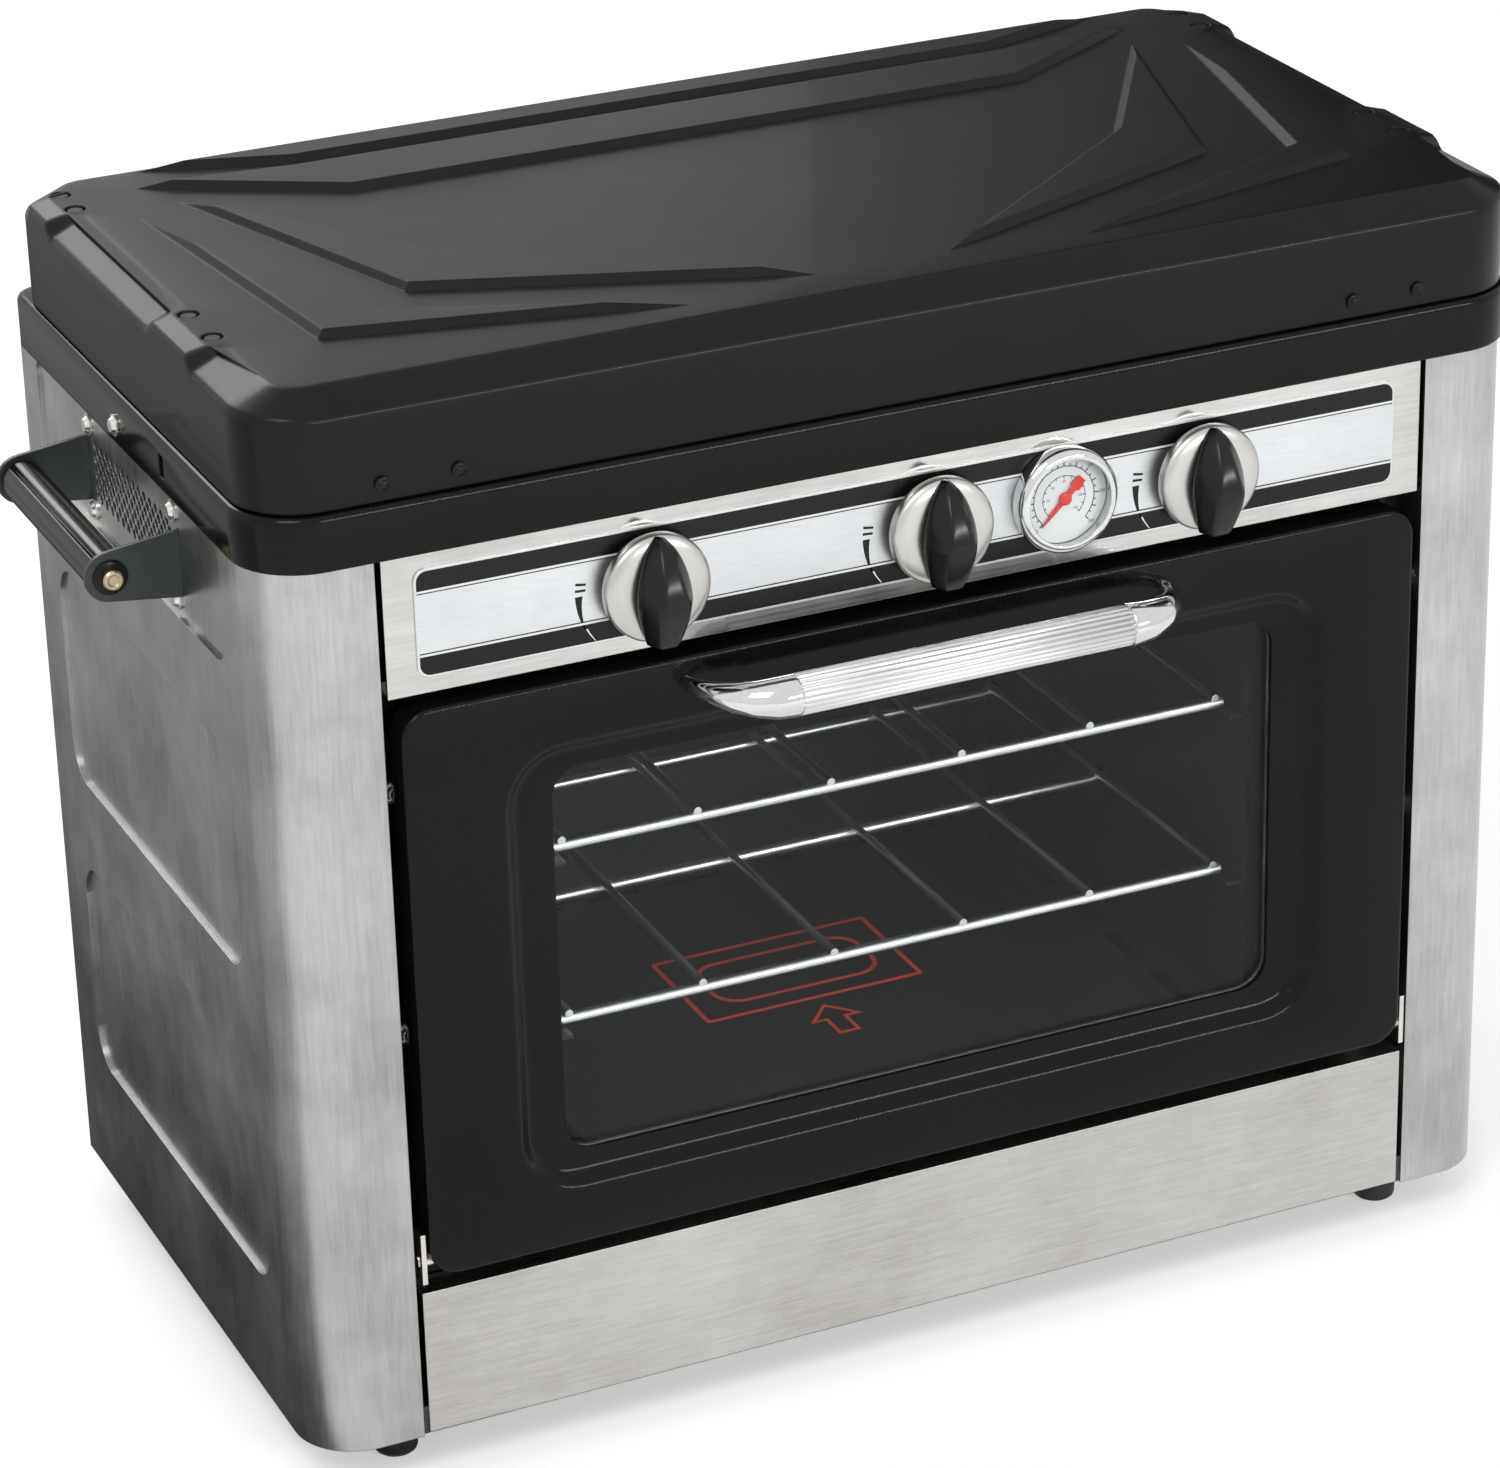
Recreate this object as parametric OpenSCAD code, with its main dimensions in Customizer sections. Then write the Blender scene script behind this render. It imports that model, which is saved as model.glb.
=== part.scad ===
// Folding camp oven: two burners under a folding lid, over an oven with a drop-down glass door.
// Millimetres, +Z up, the front faces -Y, and the feet stand on z = 0.

/* [Cabinet] */
// Width over the side panels
case_w = 533; // [480:1:600]
// Depth from the stile faces to the rear edge of the side panels
case_d = 286; // [270:1:330]
// Height of the visible side panels, up to the band
panel_h = 373; // [365:1:400]
// Thickness of the cabinet sheet
sheet_t = 1.2; // [1:0.1:1.6]
// Radius of the rounded front corners
corner_r = 26; // [18:1:34]
// Width of the front opening between the stiles
front_w = 444; // [420:1:450]
// Depth of the pressed fields in the side panels
press_d = 1.6; // [0.8:0.1:2.4]
// Height of the rubber feet
foot_h = 19; // [12:1:24]
// Radius of the rubber feet
foot_r = 9; // [7:0.5:12]

/* [Front] */
// Height of the kick plate
kick_h = 64; // [56:1:70]
// Height of the control fascia below the band
fascia_h = 56; // [52:1:58]
// Gap between the front plates and the stiles
front_gap = 2.5; // [1.5:0.5:4]
// Margin of the fascia at each end of the label plate
label_margin = 12; // [8:1:24]
// Height of the label plate
label_h = 43.5; // [40:0.5:46]
// Depth of the door recess, from the stile faces to the face frame
frame_setback = 14; // [13:0.5:18]

/* [Top] */
// Height of the black band round the cooktop
band_h = 22; // [18:1:28]
// How far the band stands proud of the side panels
band_proud = 2; // [1:0.5:3]
// Height of the lid above the band
lid_h = 45.4; // [42:0.1:60]
// Height of the sloped edge round the top of the lid
lid_slope_h = 10; // [6:1:14]
// Width of the sloped edge along the front and rear
lid_slope_w = 12; // [8:1:16]
// Thickness of the lid sheet
lid_t = 1.2; // [1:0.1:2]
// Height of the raised wedges pressed into the top of the lid
emboss_d = 2; // [1:0.1:2.2]

/* [Door] */
// Gap between the door and each stile
door_gap = 5.5; // [5:0.5:16]
// Height of the door
door_h = 240; // [225:1:241]
// Thickness of the door
door_t = 14; // [13:0.5:15]
// Radius of the door corners
door_r = 12; // [8:1:18]
// Width of the window opening
window_w = 311; // [280:1:320]
// Height of the window opening
window_h = 164; // [140:1:170]
// Thickness of the window glass
glass_t = 4; // [3:0.5:5]
// Depth of the pressing round the window
recess_d = 6; // [4:0.5:6.5]
// Length of the ribbed door grip
grip_l = 140; // [110:1:160]
// Stand-off of the door grip's axis from the door face
grip_out = 30.5; // [28:0.5:36]
// Radius of the door grip
grip_r = 8; // [7:0.5:9.5]

/* [Controls] */
// Radius of the knob discs
knob_r = 21.5; // [19:0.5:23]
// Travel of a knob when it is pushed in to turn
push_travel = 3; // [2:0.5:3.5]
// Radius of the valve stems
stem_r = 3; // [2.5:0.25:4]
// Radius of the thermometer bezel
dial_r = 21.5; // [19:0.5:22]

/* [Oven] */
// Clear width of the oven
cavity_w = 304; // [290:1:312]
// Clear depth of the oven
cavity_d = 234; // [220:1:240]
// Height of the oven floor over the bottom of the cabinet
floor_h = 92; // [88:1:98]
// Distance of the oven roof under the control fascia
roof_gap = 17; // [13:1:27]
// Height of the lower rack over the oven floor
rack_low = 62; // [50:1:70]
// Height between the two racks
rack_pitch = 75; // [60:1:80]
// Number of wires from front to rear in a rack
rack_wires = 6; // [4:1:9]
// Radius of the cross bars of a rack
bar_r = 2.3; // [2:0.1:3]
// Radius of the front-to-rear wires of a rack
wire_r = 1.7; // [1.2:0.1:2.2]

/* [Side handles] */
// Reach of the grip's axis from the side panel
handle_out = 26.5; // [24:0.5:40]
// Distance between the two arms of a side handle
arm_span = 111; // [95:1:125]
// Height of an arm where it leaves the side panel
arm_h = 27; // [22:1:32]
// Thickness of the arms
arm_t = 2; // [1.5:0.1:2.5]
// Radius of the round grip
side_grip_r = 8.5; // [7:0.5:10]

/* [Cooktop] */
// Distance of each burner from the middle
burner_x = 121; // [110:1:125]
// Radius of the burner heads
burner_r = 32; // [26:1:38]
// Width and depth of each pot grate
grate_w = 214; // [190:1:220]
// Radius of the grate wires
grate_r = 3; // [2.5:0.1:3.5]

/* [Fits] */
// Radial play of pins and stems in their bores
play = 0.06; // [0.03:0.01:0.09]
// Gap between parts that move past each other
clear = 0.6; // [0.4:0.1:0.8]

/* [Hidden] */
$fn = 48;
z0 = foot_h;
hinge_r = 3.6;
hinge_pin_r = 1.8;
hinge_out = band_proud + sheet_t + hinge_r;
inlet_out = 12;
reach_front = grip_out + grip_r + 4;
door_proud = 4;
front_y = -(case_d + inlet_out - reach_front) / 2;
back_y = front_y + case_d;
side_x = case_w / 2;
stile_x = front_w / 2;
plate_w = front_w - 2 * front_gap;
label_w = plate_w - 2 * label_margin;
door_w = front_w - 2 * door_gap;
roof_h = panel_h - fascia_h - roof_gap;
tuck_h = 12;
pan_rim = 12;
flange_w = 14;
mid_y = (front_y + back_y) / 2;
band_z = z0 + panel_h;
band_top = band_z + band_h;
kick_top = z0 + kick_h;
fascia_z = band_z - fascia_h;
frame_y = front_y + frame_setback;
frame_top = fascia_z - 0.4;

door_z = z0 + 71.8;
door_mid = door_z + door_h / 2;
door_y = front_y - door_proud;
door_back = door_y + door_t;
hinge_y = front_y + 4;
hinge_z = door_z + 5.2;
door_pin_r = 3;
window_z = door_z + 37.8 + window_h / 2;
window_r = 12;
recess_w = window_w + 34;
recess_h = window_h + 26;
glass_lap = 10;
grip_z = z0 + 302;
grip_y = door_y - grip_out;

control_z = band_z - fascia_h / 2 - 1;
knob_x = [-113.5, 5, 121];
dial_x = 59.3;
label_t = 0.8;
label_z = control_z + 1;
label_y = front_y - label_t;
knob_gap = push_travel + clear;
knob_back = label_y - knob_gap;
disc_t = 6.5;
knob_grip_t = 14;
knob_socket = 9;
valve_w = 24;
valve_y = front_y + 12;
valve_l = 36;
stem_in = 24;
manifold_r = 6;
manifold_z = control_z - valve_w / 2 - 8;
manifold_y = valve_y + 24;
inlet_x = 190;
inlet_r = 7;

cavity_y = frame_y + sheet_t;
liner_x = cavity_w / 2;
liner_bottom = z0 + floor_h - 24;
liner_t = 1;
rack_w = cavity_w - 10;
rack_d = cavity_d - 34;
rack_y = cavity_y + 13;
wire_span = rack_w - 7.4;
low_bar_z = z0 + floor_h + rack_low;
runner_t = 1.3;
runner_w = 7;

arm_mid_y = front_y + 152.5;
handle_z = z0 + 345;
arm_top = z0 + 358.5;
arm_x = side_x + handle_out;
arm_end_r = side_grip_r + 1.5;
bolt_r = 3;
screw_r = 1.5;
screw_head_r = 4.4;
screw_head_t = 2.6;
screw_z = [z0 + 328.7, z0 + 364.5];
screw_in = 5;
arm_flange_t = 1.6;

lid_bottom = band_top + clear;
lid_top = band_top + lid_h;
lid_axis_y = back_y + hinge_out;
lid_axis_z = band_top + 1;
lid_hinge_x = 170;
lid_hinge_w = 60;

deck_floor = band_top - 14;
deck_t = 1;
burner_y = mid_y + 4;
burner_top = band_top + 6;
grate_top = band_top + 28;

SIDES = [-1, 1];

// Shared shapes

// A rectangle with round corners, centred on the origin
module rounded(w, h, r) {
  square([w - 2 * r, h], center = true);
  square([w, h - 2 * r], center = true);
  for (x = SIDES, y = [-1, 1]) translate([x * (w / 2 - r), y * (h / 2 - r)]) circle(r);
}

// A flat piece drawn in X and Z, with its front face at y
module facing(y, t) {
  translate([0, y + t, 0]) rotate([90, 0, 0]) linear_extrude(t) children();
}

// A round bar along Y from y0 to y1
module bar_y(x, y0, y1, z, r) {
  translate([x, y0, z]) rotate([-90, 0, 0]) cylinder(h = y1 - y0, r = r);
}

// A round bar along X from x0 to x1
module bar_x(x0, x1, y, z, r) {
  translate([x0, y, z]) rotate([0, 90, 0]) cylinder(h = x1 - x0, r = r);
}

// A tube with ball corners along a route of points
module route(points, r) {
  for (i = [0 : len(points) - 2]) {
    run = points[i + 1] - points[i];
    l = norm(run);
    translate(points[i])
      rotate([0, acos(run[2] / l), atan2(run[1], run[0])])
        cylinder(h = l, r = r);
  }
  for (i = [1 : len(points) - 2]) translate(points[i]) sphere(r * 1.06);
}

// The plan of the cabinet, drawn in by d, with square rear corners
module plan(d) {
  r = max(corner_r - d, 1);
  x = side_x - d;
  y0 = front_y + d;
  translate([-x, y0 + r]) square([2 * x, back_y - d - y0 - r]);
  translate([-x + r, y0]) square([2 * (x - r), back_y - d - y0]);
  for (s = SIDES) translate([s * (x - r), y0 + r]) circle(r);
}

// The plan of the band and the lid, with all four corners round
module top_plan(d, r) {
  translate([0, mid_y]) rounded(case_w - 2 * d, case_d - 2 * d, max(r, 1));
}

// Cabinet

press_mid_y = front_y + 154;
top_press = [press_mid_y + 2, z0 + 348, 222, 52, 10];
press_fields = [top_press, [press_mid_y, z0 + 238.5, 210, 95, 16], [press_mid_y - 3, z0 + 103.5, 214, 95, 16]];
press_land = sheet_t;

// One pressed field of a side panel, grown by g, drawn in Y and Z
module press_outline(f, g) {
  translate([f[0], f[1]]) rounded(f[2] + 2 * g, f[3] + 2 * g, f[4] + g);
}

// What the band's round rear corners leave of the sheets tucked inside it
module tuck_trim() {
  translate([0, 0, band_z - 0.2]) linear_extrude(2 * tuck_h) difference() {
    translate([0, mid_y]) square([case_w + 20, case_d + 20], center = true);
    top_plan(0.4, corner_r);
  }
}

vent_cols = 14;
vent_rows = 8;
vent_r = 2.1;
vent_pitch = 6.7;
vent_drop = 3.1;

// The staggered round holes between the arms of a side handle
module vent_holes() {
  for (i = [0 : vent_cols - 1], j = [0 : vent_rows - 1])
    translate([arm_mid_y + (i - (vent_cols - 1) / 2) * vent_pitch + (j % 2) * vent_pitch / 2 - vent_pitch / 4,
               handle_z + 1.5 + (j - (vent_rows - 1) / 2) * vent_drop])
      circle(vent_r, $fn = 16);
}

arm_slot = arm_t + 0.6;
arm_ys = [arm_mid_y - arm_span / 2, arm_mid_y + arm_span / 2];
arm_in = [1, -1];

// The slots and screw holes for the arms of a side handle
module handle_cuts() {
  for (i = [0, 1]) {
    translate([arm_ys[i], arm_top - arm_h / 2]) square([arm_slot, arm_h + 0.6], center = true);
    for (z = screw_z) translate([arm_ys[i] + arm_in[i] * screw_in, z]) circle(screw_r + 0.1);
  }
}

module side_panel() {
  top = band_z + tuck_h;
  difference() {
    union() {
      translate([0, 0, z0]) linear_extrude(top - z0) difference() {
        plan(0);
        plan(sheet_t);
        translate([-stile_x, front_y - 1]) square([case_w, case_d + 2]);
        translate([-side_x + flange_w, mid_y]) square([case_w, case_d]);
      }
      translate([-stile_x - sheet_t, front_y, z0 + pan_rim + 1])
        cube([sheet_t, frame_setback, fascia_z - z0 - pan_rim - 1]);
      for (f = press_fields) translate([-side_x, 0, 0]) rotate([90, 0, 90])
        linear_extrude(press_d + sheet_t) press_outline(f, press_land);
    }
    for (f = press_fields) translate([-side_x - 1, 0, 0]) rotate([90, 0, 90])
      linear_extrude(press_d + 1) press_outline(f, 0);
    translate([-side_x - 1, 0, 0]) rotate([90, 0, 90]) linear_extrude(10) {
      vent_holes();
      handle_cuts();
    }
    tuck_trim();
  }
}

module side_panel_left() {
  color("silver") side_panel();
}

module side_panel_right() {
  color("silver") mirror([1, 0, 0]) side_panel();
}

module back_panel() {
  w = 2 * (side_x - sheet_t);
  louvre = [60, 4];
  color("silver") difference() {
    translate([-w / 2, back_y - 2 * sheet_t, z0 + 2 * sheet_t])
      cube([w, sheet_t, panel_h + tuck_h - 2 * sheet_t - 2]);
    for (x = [-3 : 3], z = [0 : 2])
      translate([x * (louvre[0] + 10) - louvre[0] / 2, back_y - 3 * sheet_t, z0 + 310 + z * 14])
        cube([louvre[0], 3 * sheet_t, louvre[1]]);
    bar_y(inlet_x, back_y - 10, back_y + 1, manifold_z, inlet_r - 2);
    tuck_trim();
  }
}

module base_pan() {
  rim = pan_rim;
  color("silver") difference() {
    translate([0, 0, z0 + 0.4]) linear_extrude(rim) difference() {
      plan(sheet_t);
      translate([-side_x, back_y - 2 * sheet_t]) square([case_w, 10]);
    }
    translate([0, 0, z0 + 0.4 + sheet_t]) linear_extrude(rim) difference() {
      plan(2 * sheet_t);
      translate([-side_x, back_y - 3 * sheet_t]) square([case_w, 10]);
    }
    for (x = [-4 : 4], s = SIDES)
      translate([x * 40 - 12, mid_y + s * 60 - 3, z0 - 1]) cube([24, 6, 5]);
    for (p = foot_places) translate([p[0], p[1], z0 - 1]) cylinder(h = 5, r = 2.6);
  }
}

foot_places = [for (x = SIDES, y = [front_y + 38, back_y - 38]) [x * (side_x - 43.5), y]];

module rubber_feet() {
  color("#161616") for (p = foot_places) translate([p[0], p[1], 0]) {
    rotate_extrude() polygon([
      [0, 0], [foot_r - 1.5, 0], [foot_r - 0.5, 1], [foot_r, foot_h - 5], [foot_r - 0.8, foot_h + 0.4],
      [2.5, foot_h + 0.4], [2.5, foot_h + 0.4 + sheet_t], [5, foot_h + 0.4 + sheet_t],
      [2, foot_h + 6], [0, foot_h + 6]
    ]);
  }
}

module kick_plate() {
  back = frame_setback - 1;
  color("#b8b6b0") {
    facing(front_y, sheet_t) translate([0, z0 + kick_h / 2 + 0.7]) square([plate_w, kick_h - 1.4], center = true);
    translate([-plate_w / 2, front_y + sheet_t, kick_top - sheet_t]) cube([plate_w, back - sheet_t, sheet_t]);
  }
}

module control_fascia() {
  top = band_z + tuck_h;
  color("#c6c6c4") difference() {
    union() {
      facing(front_y, sheet_t) translate([0, (top + fascia_z) / 2]) square([plate_w, top - fascia_z], center = true);
      translate([-plate_w / 2, front_y + sheet_t, fascia_z]) cube([plate_w, frame_setback - sheet_t, sheet_t]);
    }
    for (x = knob_x) bar_y(x, front_y - 1, front_y + 3, control_z, stem_r + 1.5);
    bar_y(dial_x, front_y - 1, front_y + 3, control_z + 1.5, 6.1);
  }
}

module label_plate() {
  color("#d9d9d9") difference() {
    facing(label_y, label_t) translate([0, label_z]) rounded(label_w, label_h, 5);
    for (x = knob_x) bar_y(x, label_y - 1, front_y + 1, control_z, stem_r + 1.5);
    bar_y(dial_x, label_y - 1, front_y + 1, control_z + 1.5, 6.1);
  }
}

frame_screw_x = door_w / 2 - 2;
frame_screw_z = [z0 + 171, z0 + 273];

module face_frame() {
  bottom = kick_top - 8;
  w = front_w;
  color("#0d0c0c") difference() {
    facing(frame_y, sheet_t) translate([0, (frame_top + bottom) / 2]) square([w, frame_top - bottom], center = true);
    translate([-liner_x, frame_y - 1, z0 + floor_h - 1]) cube([cavity_w, 5, roof_h - floor_h + 1]);
    for (s = SIDES, z = frame_screw_z) bar_y(s * frame_screw_x, frame_y - 1, frame_y + 5, z, screw_r + 0.1);
  }
}

module top_band() {
  lip = 16;
  d = -band_proud;
  color("#171310") difference() {
    translate([0, 0, band_z]) linear_extrude(band_h) top_plan(d, corner_r + band_proud);
    translate([0, 0, band_z - 1]) linear_extrude(band_h + 1 - sheet_t)
      top_plan(-0.3, corner_r + 0.3);
    translate([0, 0, band_z - 1]) linear_extrude(band_h + 5) top_plan(lip, corner_r - lip);
    translate([-side_x - 4, front_y + 98, band_z + 6]) cube([8, 5, 9]);
    bar_x(-side_x - 4, -side_x + 4, front_y + 155, band_z + 8.5, screw_r + 0.1);
    for (s = SIDES) for (x = [-20, 20])
      bar_y(s * lid_hinge_x + x, back_y - 4, back_y + 8, band_z + 10, screw_r + 0.1);
  }
}

module cooktop_deck() {
  inset = 6;
  wall = 22;
  rim_z = band_top;
  color("#8e8e8c") difference() {
    union() {
      translate([0, 0, rim_z]) linear_extrude(deck_t) top_plan(inset, corner_r - inset);
      translate([0, 0, deck_floor - deck_t]) linear_extrude(rim_z - deck_floor + deck_t) top_plan(wall, 10);
    }
    translate([0, 0, deck_floor]) linear_extrude(40) top_plan(wall + deck_t, 10 - deck_t);
    for (s = SIDES) translate([s * burner_x, burner_y, deck_floor - 10]) cylinder(h = 20, r = 18);
    for (s = SIDES) translate([s * (burner_x - 30), burner_y + 26, deck_floor - 10]) cylinder(h = 20, r = 3.2);
  }
}

// Oven

module oven_liner() {
  d = cavity_d;
  z1 = z0 + roof_h + liner_t;
  color("#46484a") difference() {
    translate([-liner_x - liner_t, cavity_y, liner_bottom - liner_t])
      cube([cavity_w + 2 * liner_t, d + liner_t, z1 - liner_bottom + liner_t]);
    translate([-liner_x, cavity_y - 1, liner_bottom]) cube([cavity_w, d + 1, z1 - liner_t - liner_bottom]);
    for (x = [-3 : 3]) translate([x * 40 - 12, cavity_y + 60, liner_bottom - 5]) cube([24, 8, 10]);
    for (x = [-2 : 2]) translate([x * 50 - 15, cavity_y + d - 1, z0 + roof_h - 16]) cube([30, 5, 6]);
    bar_x(-liner_x - 5, -liner_x + 5, tube_y, tube_z, 4.2);
    translate([bulb_x, bulb_y, z1 - 5]) cylinder(h = 10, r = 1.6);
  }
}

rack_levels = [low_bar_z, low_bar_z + rack_pitch];

// The ledges that carry the racks, and the two ledges under the oven floor
module rack_runners() {
  color("#55575a") {
    for (s = SIDES, z = rack_levels)
      translate([s * (liner_x - runner_w / 2) - runner_w / 2, cavity_y + 3, z - bar_r - runner_t])
        cube([runner_w, cavity_d - 6, runner_t]);
    for (s = SIDES)
      translate([s * (liner_x - runner_w / 2) - runner_w / 2, cavity_y + 3, z0 + floor_h - liner_t - runner_t])
        cube([runner_w, cavity_d - 6, runner_t]);
  }
}

module oven_floor() {
  w = cavity_w - 2;
  d = cavity_d - 3;
  color("#4c4f52") difference() {
    translate([-w / 2, cavity_y + 1.5, z0 + floor_h - liner_t]) cube([w, d, liner_t]);
    for (s = SIDES, y = [0 : 4])
      translate([s * (w / 2 - 14) - 3, cavity_y + 22 + y * 40, z0 + floor_h - 5]) cube([6, 28, 10]);
    for (x = [-3 : 3]) translate([x * 38 - 13, cavity_y + d - 14, z0 + floor_h - 5]) cube([26, 6, 10]);
  }
}

tube_y = cavity_y + cavity_d / 2;
tube_z = z0 + floor_h - 13;
tube_r = 8;

module oven_burner() {
  color("#8a8c8f") difference() {
    union() {
      bar_x(-liner_x + 10, liner_x - 30, tube_y, tube_z, tube_r);
      translate([-liner_x + 20, tube_y, liner_bottom]) cylinder(h = tube_z - liner_bottom, r = 4);
      translate([liner_x - 60, tube_y, liner_bottom]) cylinder(h = tube_z - liner_bottom, r = 4);
    }
    for (i = [0 : 15]) translate([-100 + i * 13, tube_y, tube_z]) cylinder(h = 20, r = 1);
  }
}

module oven_gas_tube() {
  x = -liner_x - 18;
  color("#b5a27a") route([
    [knob_x[1], valve_y + valve_l, control_z],
    [knob_x[1], valve_y + valve_l + 10, control_z],
    [knob_x[1], valve_y + valve_l + 10, control_z - 15],
    [x, valve_y + valve_l + 10, control_z - 15],
    [x, tube_y, control_z - 30],
    [x, tube_y, tube_z],
    [-liner_x + 10, tube_y, tube_z]
  ], 2.5);
}

bulb_x = dial_x;
bulb_y = cavity_y + 30;

module thermometer_capillary() {
  color("#c0a060") {
    route([
      [dial_x, front_y + 12, control_z + 1.5],
      [dial_x, front_y + 22, control_z + 1.5],
      [bulb_x + 10, bulb_y, control_z - 10],
      [bulb_x + 10, bulb_y, z0 + roof_h + 12],
      [bulb_x, bulb_y, z0 + roof_h + 8],
      [bulb_x, bulb_y, z0 + roof_h - 4]
    ], 1.2);
    translate([bulb_x, bulb_y, z0 + roof_h - 16]) cylinder(h = 13, r = 3);
  }
}

// Gas

module gas_manifold() {
  color("#9a9a98") {
    bar_x(-130, inlet_x, manifold_y, manifold_z, manifold_r);
    translate([inlet_x, manifold_y, manifold_z]) sphere(manifold_r);
    bar_y(inlet_x, manifold_y, back_y - 3 * sheet_t, manifold_z, manifold_r - 1.5);
    for (x = knob_x)
      translate([x - 7, manifold_y - 6, manifold_z]) cube([14, 12, control_z - valve_w / 2 - manifold_z]);
  }
}

module gas_valves() {
  color("#b08d4a") for (x = knob_x) difference() {
    union() {
      translate([x - valve_w / 2, valve_y, control_z - valve_w / 2]) cube([valve_w, valve_l - 6, valve_w]);
      bar_y(x, valve_y - 6, valve_y, control_z, 7);
      bar_y(x, valve_y + valve_l - 6, valve_y + valve_l, control_z, 5);
    }
    bar_y(x, valve_y - 10, front_y + stem_in + push_travel + 3, control_z, stem_r + play);
  }
}

module gas_inlet() {
  color("#c9a24d") {
    bar_y(inlet_x, back_y - 3 * sheet_t, back_y, manifold_z, inlet_r - 2.2);
    bar_y(inlet_x, back_y - sheet_t, back_y + 4, manifold_z, inlet_r + 2);
    bar_y(inlet_x, back_y, back_y + inlet_out, manifold_z, inlet_r);
  }
}

module igniter_electrodes() {
  color("#e8e6e0") {
    for (s = SIDES) translate([s * (burner_x - 30), burner_y + 26, deck_floor - 8]) {
      cylinder(h = 26, r = 3);
      translate([0, 0, 26]) cylinder(h = 5, r = 0.9);
    }
    translate([0, tube_y + 22, liner_bottom]) cylinder(h = 12, r = 3);
  }
}

module burner_bases() {
  color("#7d7f82") for (s = SIDES) {
    x = s * burner_x;
    feed = s < 0 ? knob_x[0] : knob_x[2];
    translate([x, burner_y, deck_floor]) cylinder(h = burner_top - deck_floor - 6, r = burner_r);
    translate([x, burner_y, deck_floor - 26]) cylinder(h = 28, r = 17);
    bar_y(feed, valve_y + valve_l, burner_y, control_z, 5);
  }
}

module burner_caps() {
  color("#2a2a2b") for (s = SIDES) translate([s * burner_x, burner_y, burner_top - 6]) difference() {
    rotate_extrude() polygon([
      [0, 0], [burner_r - 2, 0], [burner_r - 2, 5], [burner_r, 6], [burner_r - 3, 9], [0, 10.5]
    ]);
    for (a = [0 : 15 : 345]) rotate([0, 0, a]) translate([burner_r - 8, -0.8, 1]) cube([10, 1.6, 3]);
  }
}

// A pot grate of one burner: a square wire frame on four legs, with eight fingers
module pot_grates() {
  h = grate_w / 2;
  z = grate_top - grate_r;
  color("#1b1b1c") for (s = SIDES) translate([s * burner_x, burner_y, 0]) {
    for (t = SIDES) {
      bar_x(-h, h, t * h, z, grate_r);
      bar_y(t * h, -h, h, z, grate_r);
      for (u = SIDES) {
        translate([t * h, u * h, deck_floor]) cylinder(h = z - deck_floor, r = grate_r);
        translate([t * h, u * h, z]) sphere(grate_r);
      }
    }
    for (a = [0 : 45 : 315]) {
      reach = a % 90 == 0 ? h : h * sqrt(2);
      rotate([0, 0, a]) bar_x(18, reach, 0, z, grate_r - 0.4);
    }
  }
}

// Side handles

module handle_arm() {
  x0 = side_x - press_d - sheet_t;
  rotate([90, 0, 0]) translate([0, 0, -arm_t / 2]) linear_extrude(arm_t) difference() {
    union() {
      polygon([
        [x0, arm_top - arm_h], [x0, arm_top], [side_x, arm_top], [arm_x + 1, handle_z + arm_end_r],
        [arm_x + 1, handle_z - arm_end_r], [side_x, arm_top - arm_h]
      ]);
      translate([arm_x, handle_z]) circle(arm_end_r);
    }
    translate([arm_x, handle_z]) circle(bolt_r + 0.05);
  }
}

module handle_arms() {
  x0 = side_x - press_d - sheet_t;
  flange_h = screw_z[1] - screw_z[0] + 10.2;
  color("#39423f") for (s = [0, 1]) mirror([s, 0, 0]) for (i = [0, 1]) {
    translate([0, arm_ys[i], 0]) {
      handle_arm();
      difference() {
        translate([x0 - arm_flange_t, i == 0 ? -arm_t / 2 : -10, (screw_z[0] + screw_z[1] - flange_h) / 2])
          cube([arm_flange_t, 10 + arm_t / 2, flange_h]);
        for (z = screw_z)
          bar_x(x0 - 5, x0 + 1, arm_in[i] * screw_in, z, screw_r + 0.1);
      }
    }
  }
}

grip_len = arm_span - arm_t - 1;
flutes = 10;

module side_grip() {
  translate([arm_x, arm_mid_y - grip_len / 2, handle_z]) rotate([-90, 0, 0])
    linear_extrude(grip_len) difference() {
      circle(side_grip_r);
      circle(bolt_r + play);
      for (a = [0 : 360 / flutes : 359]) rotate(a) translate([side_grip_r + 0.5, 0]) circle(1.2, $fn = 16);
    }
}

module side_grip_left() {
  color("#2a211b") mirror([1, 0, 0]) side_grip();
}

module side_grip_right() {
  color("#2a211b") side_grip();
}

module handle_bolts() {
  out = arm_span / 2 + arm_t / 2;
  color("#b9a36a") for (s = SIDES) translate([s * arm_x, arm_mid_y, handle_z]) rotate([-90, 0, 0]) {
    translate([0, 0, -out - 1.2]) cylinder(h = 2 * out + 2.4, r = bolt_r);
    translate([0, 0, -out - 1.2]) cylinder(h = 1.2, r = 6.5);
    translate([0, 0, out]) cylinder(h = 1.2, r = 6.5);
    translate([0, 0, -out - 4.7]) cylinder(h = 3.5, r = 5, $fn = 6);
    translate([0, 0, out + 1.2]) cylinder(h = 3.5, r = 5, $fn = 6);
  }
}

// A pan head screw along +X, its seat at x = 0 and its head on the -X side
module screw(shank) {
  rotate([0, 90, 0]) {
    cylinder(h = shank, r = screw_r);
    translate([0, 0, -screw_head_t]) cylinder(h = 1.6, r1 = screw_head_r - 1.8, r2 = screw_head_r - 0.8);
    translate([0, 0, -1]) cylinder(h = 1, r = screw_head_r);
  }
}

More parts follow.
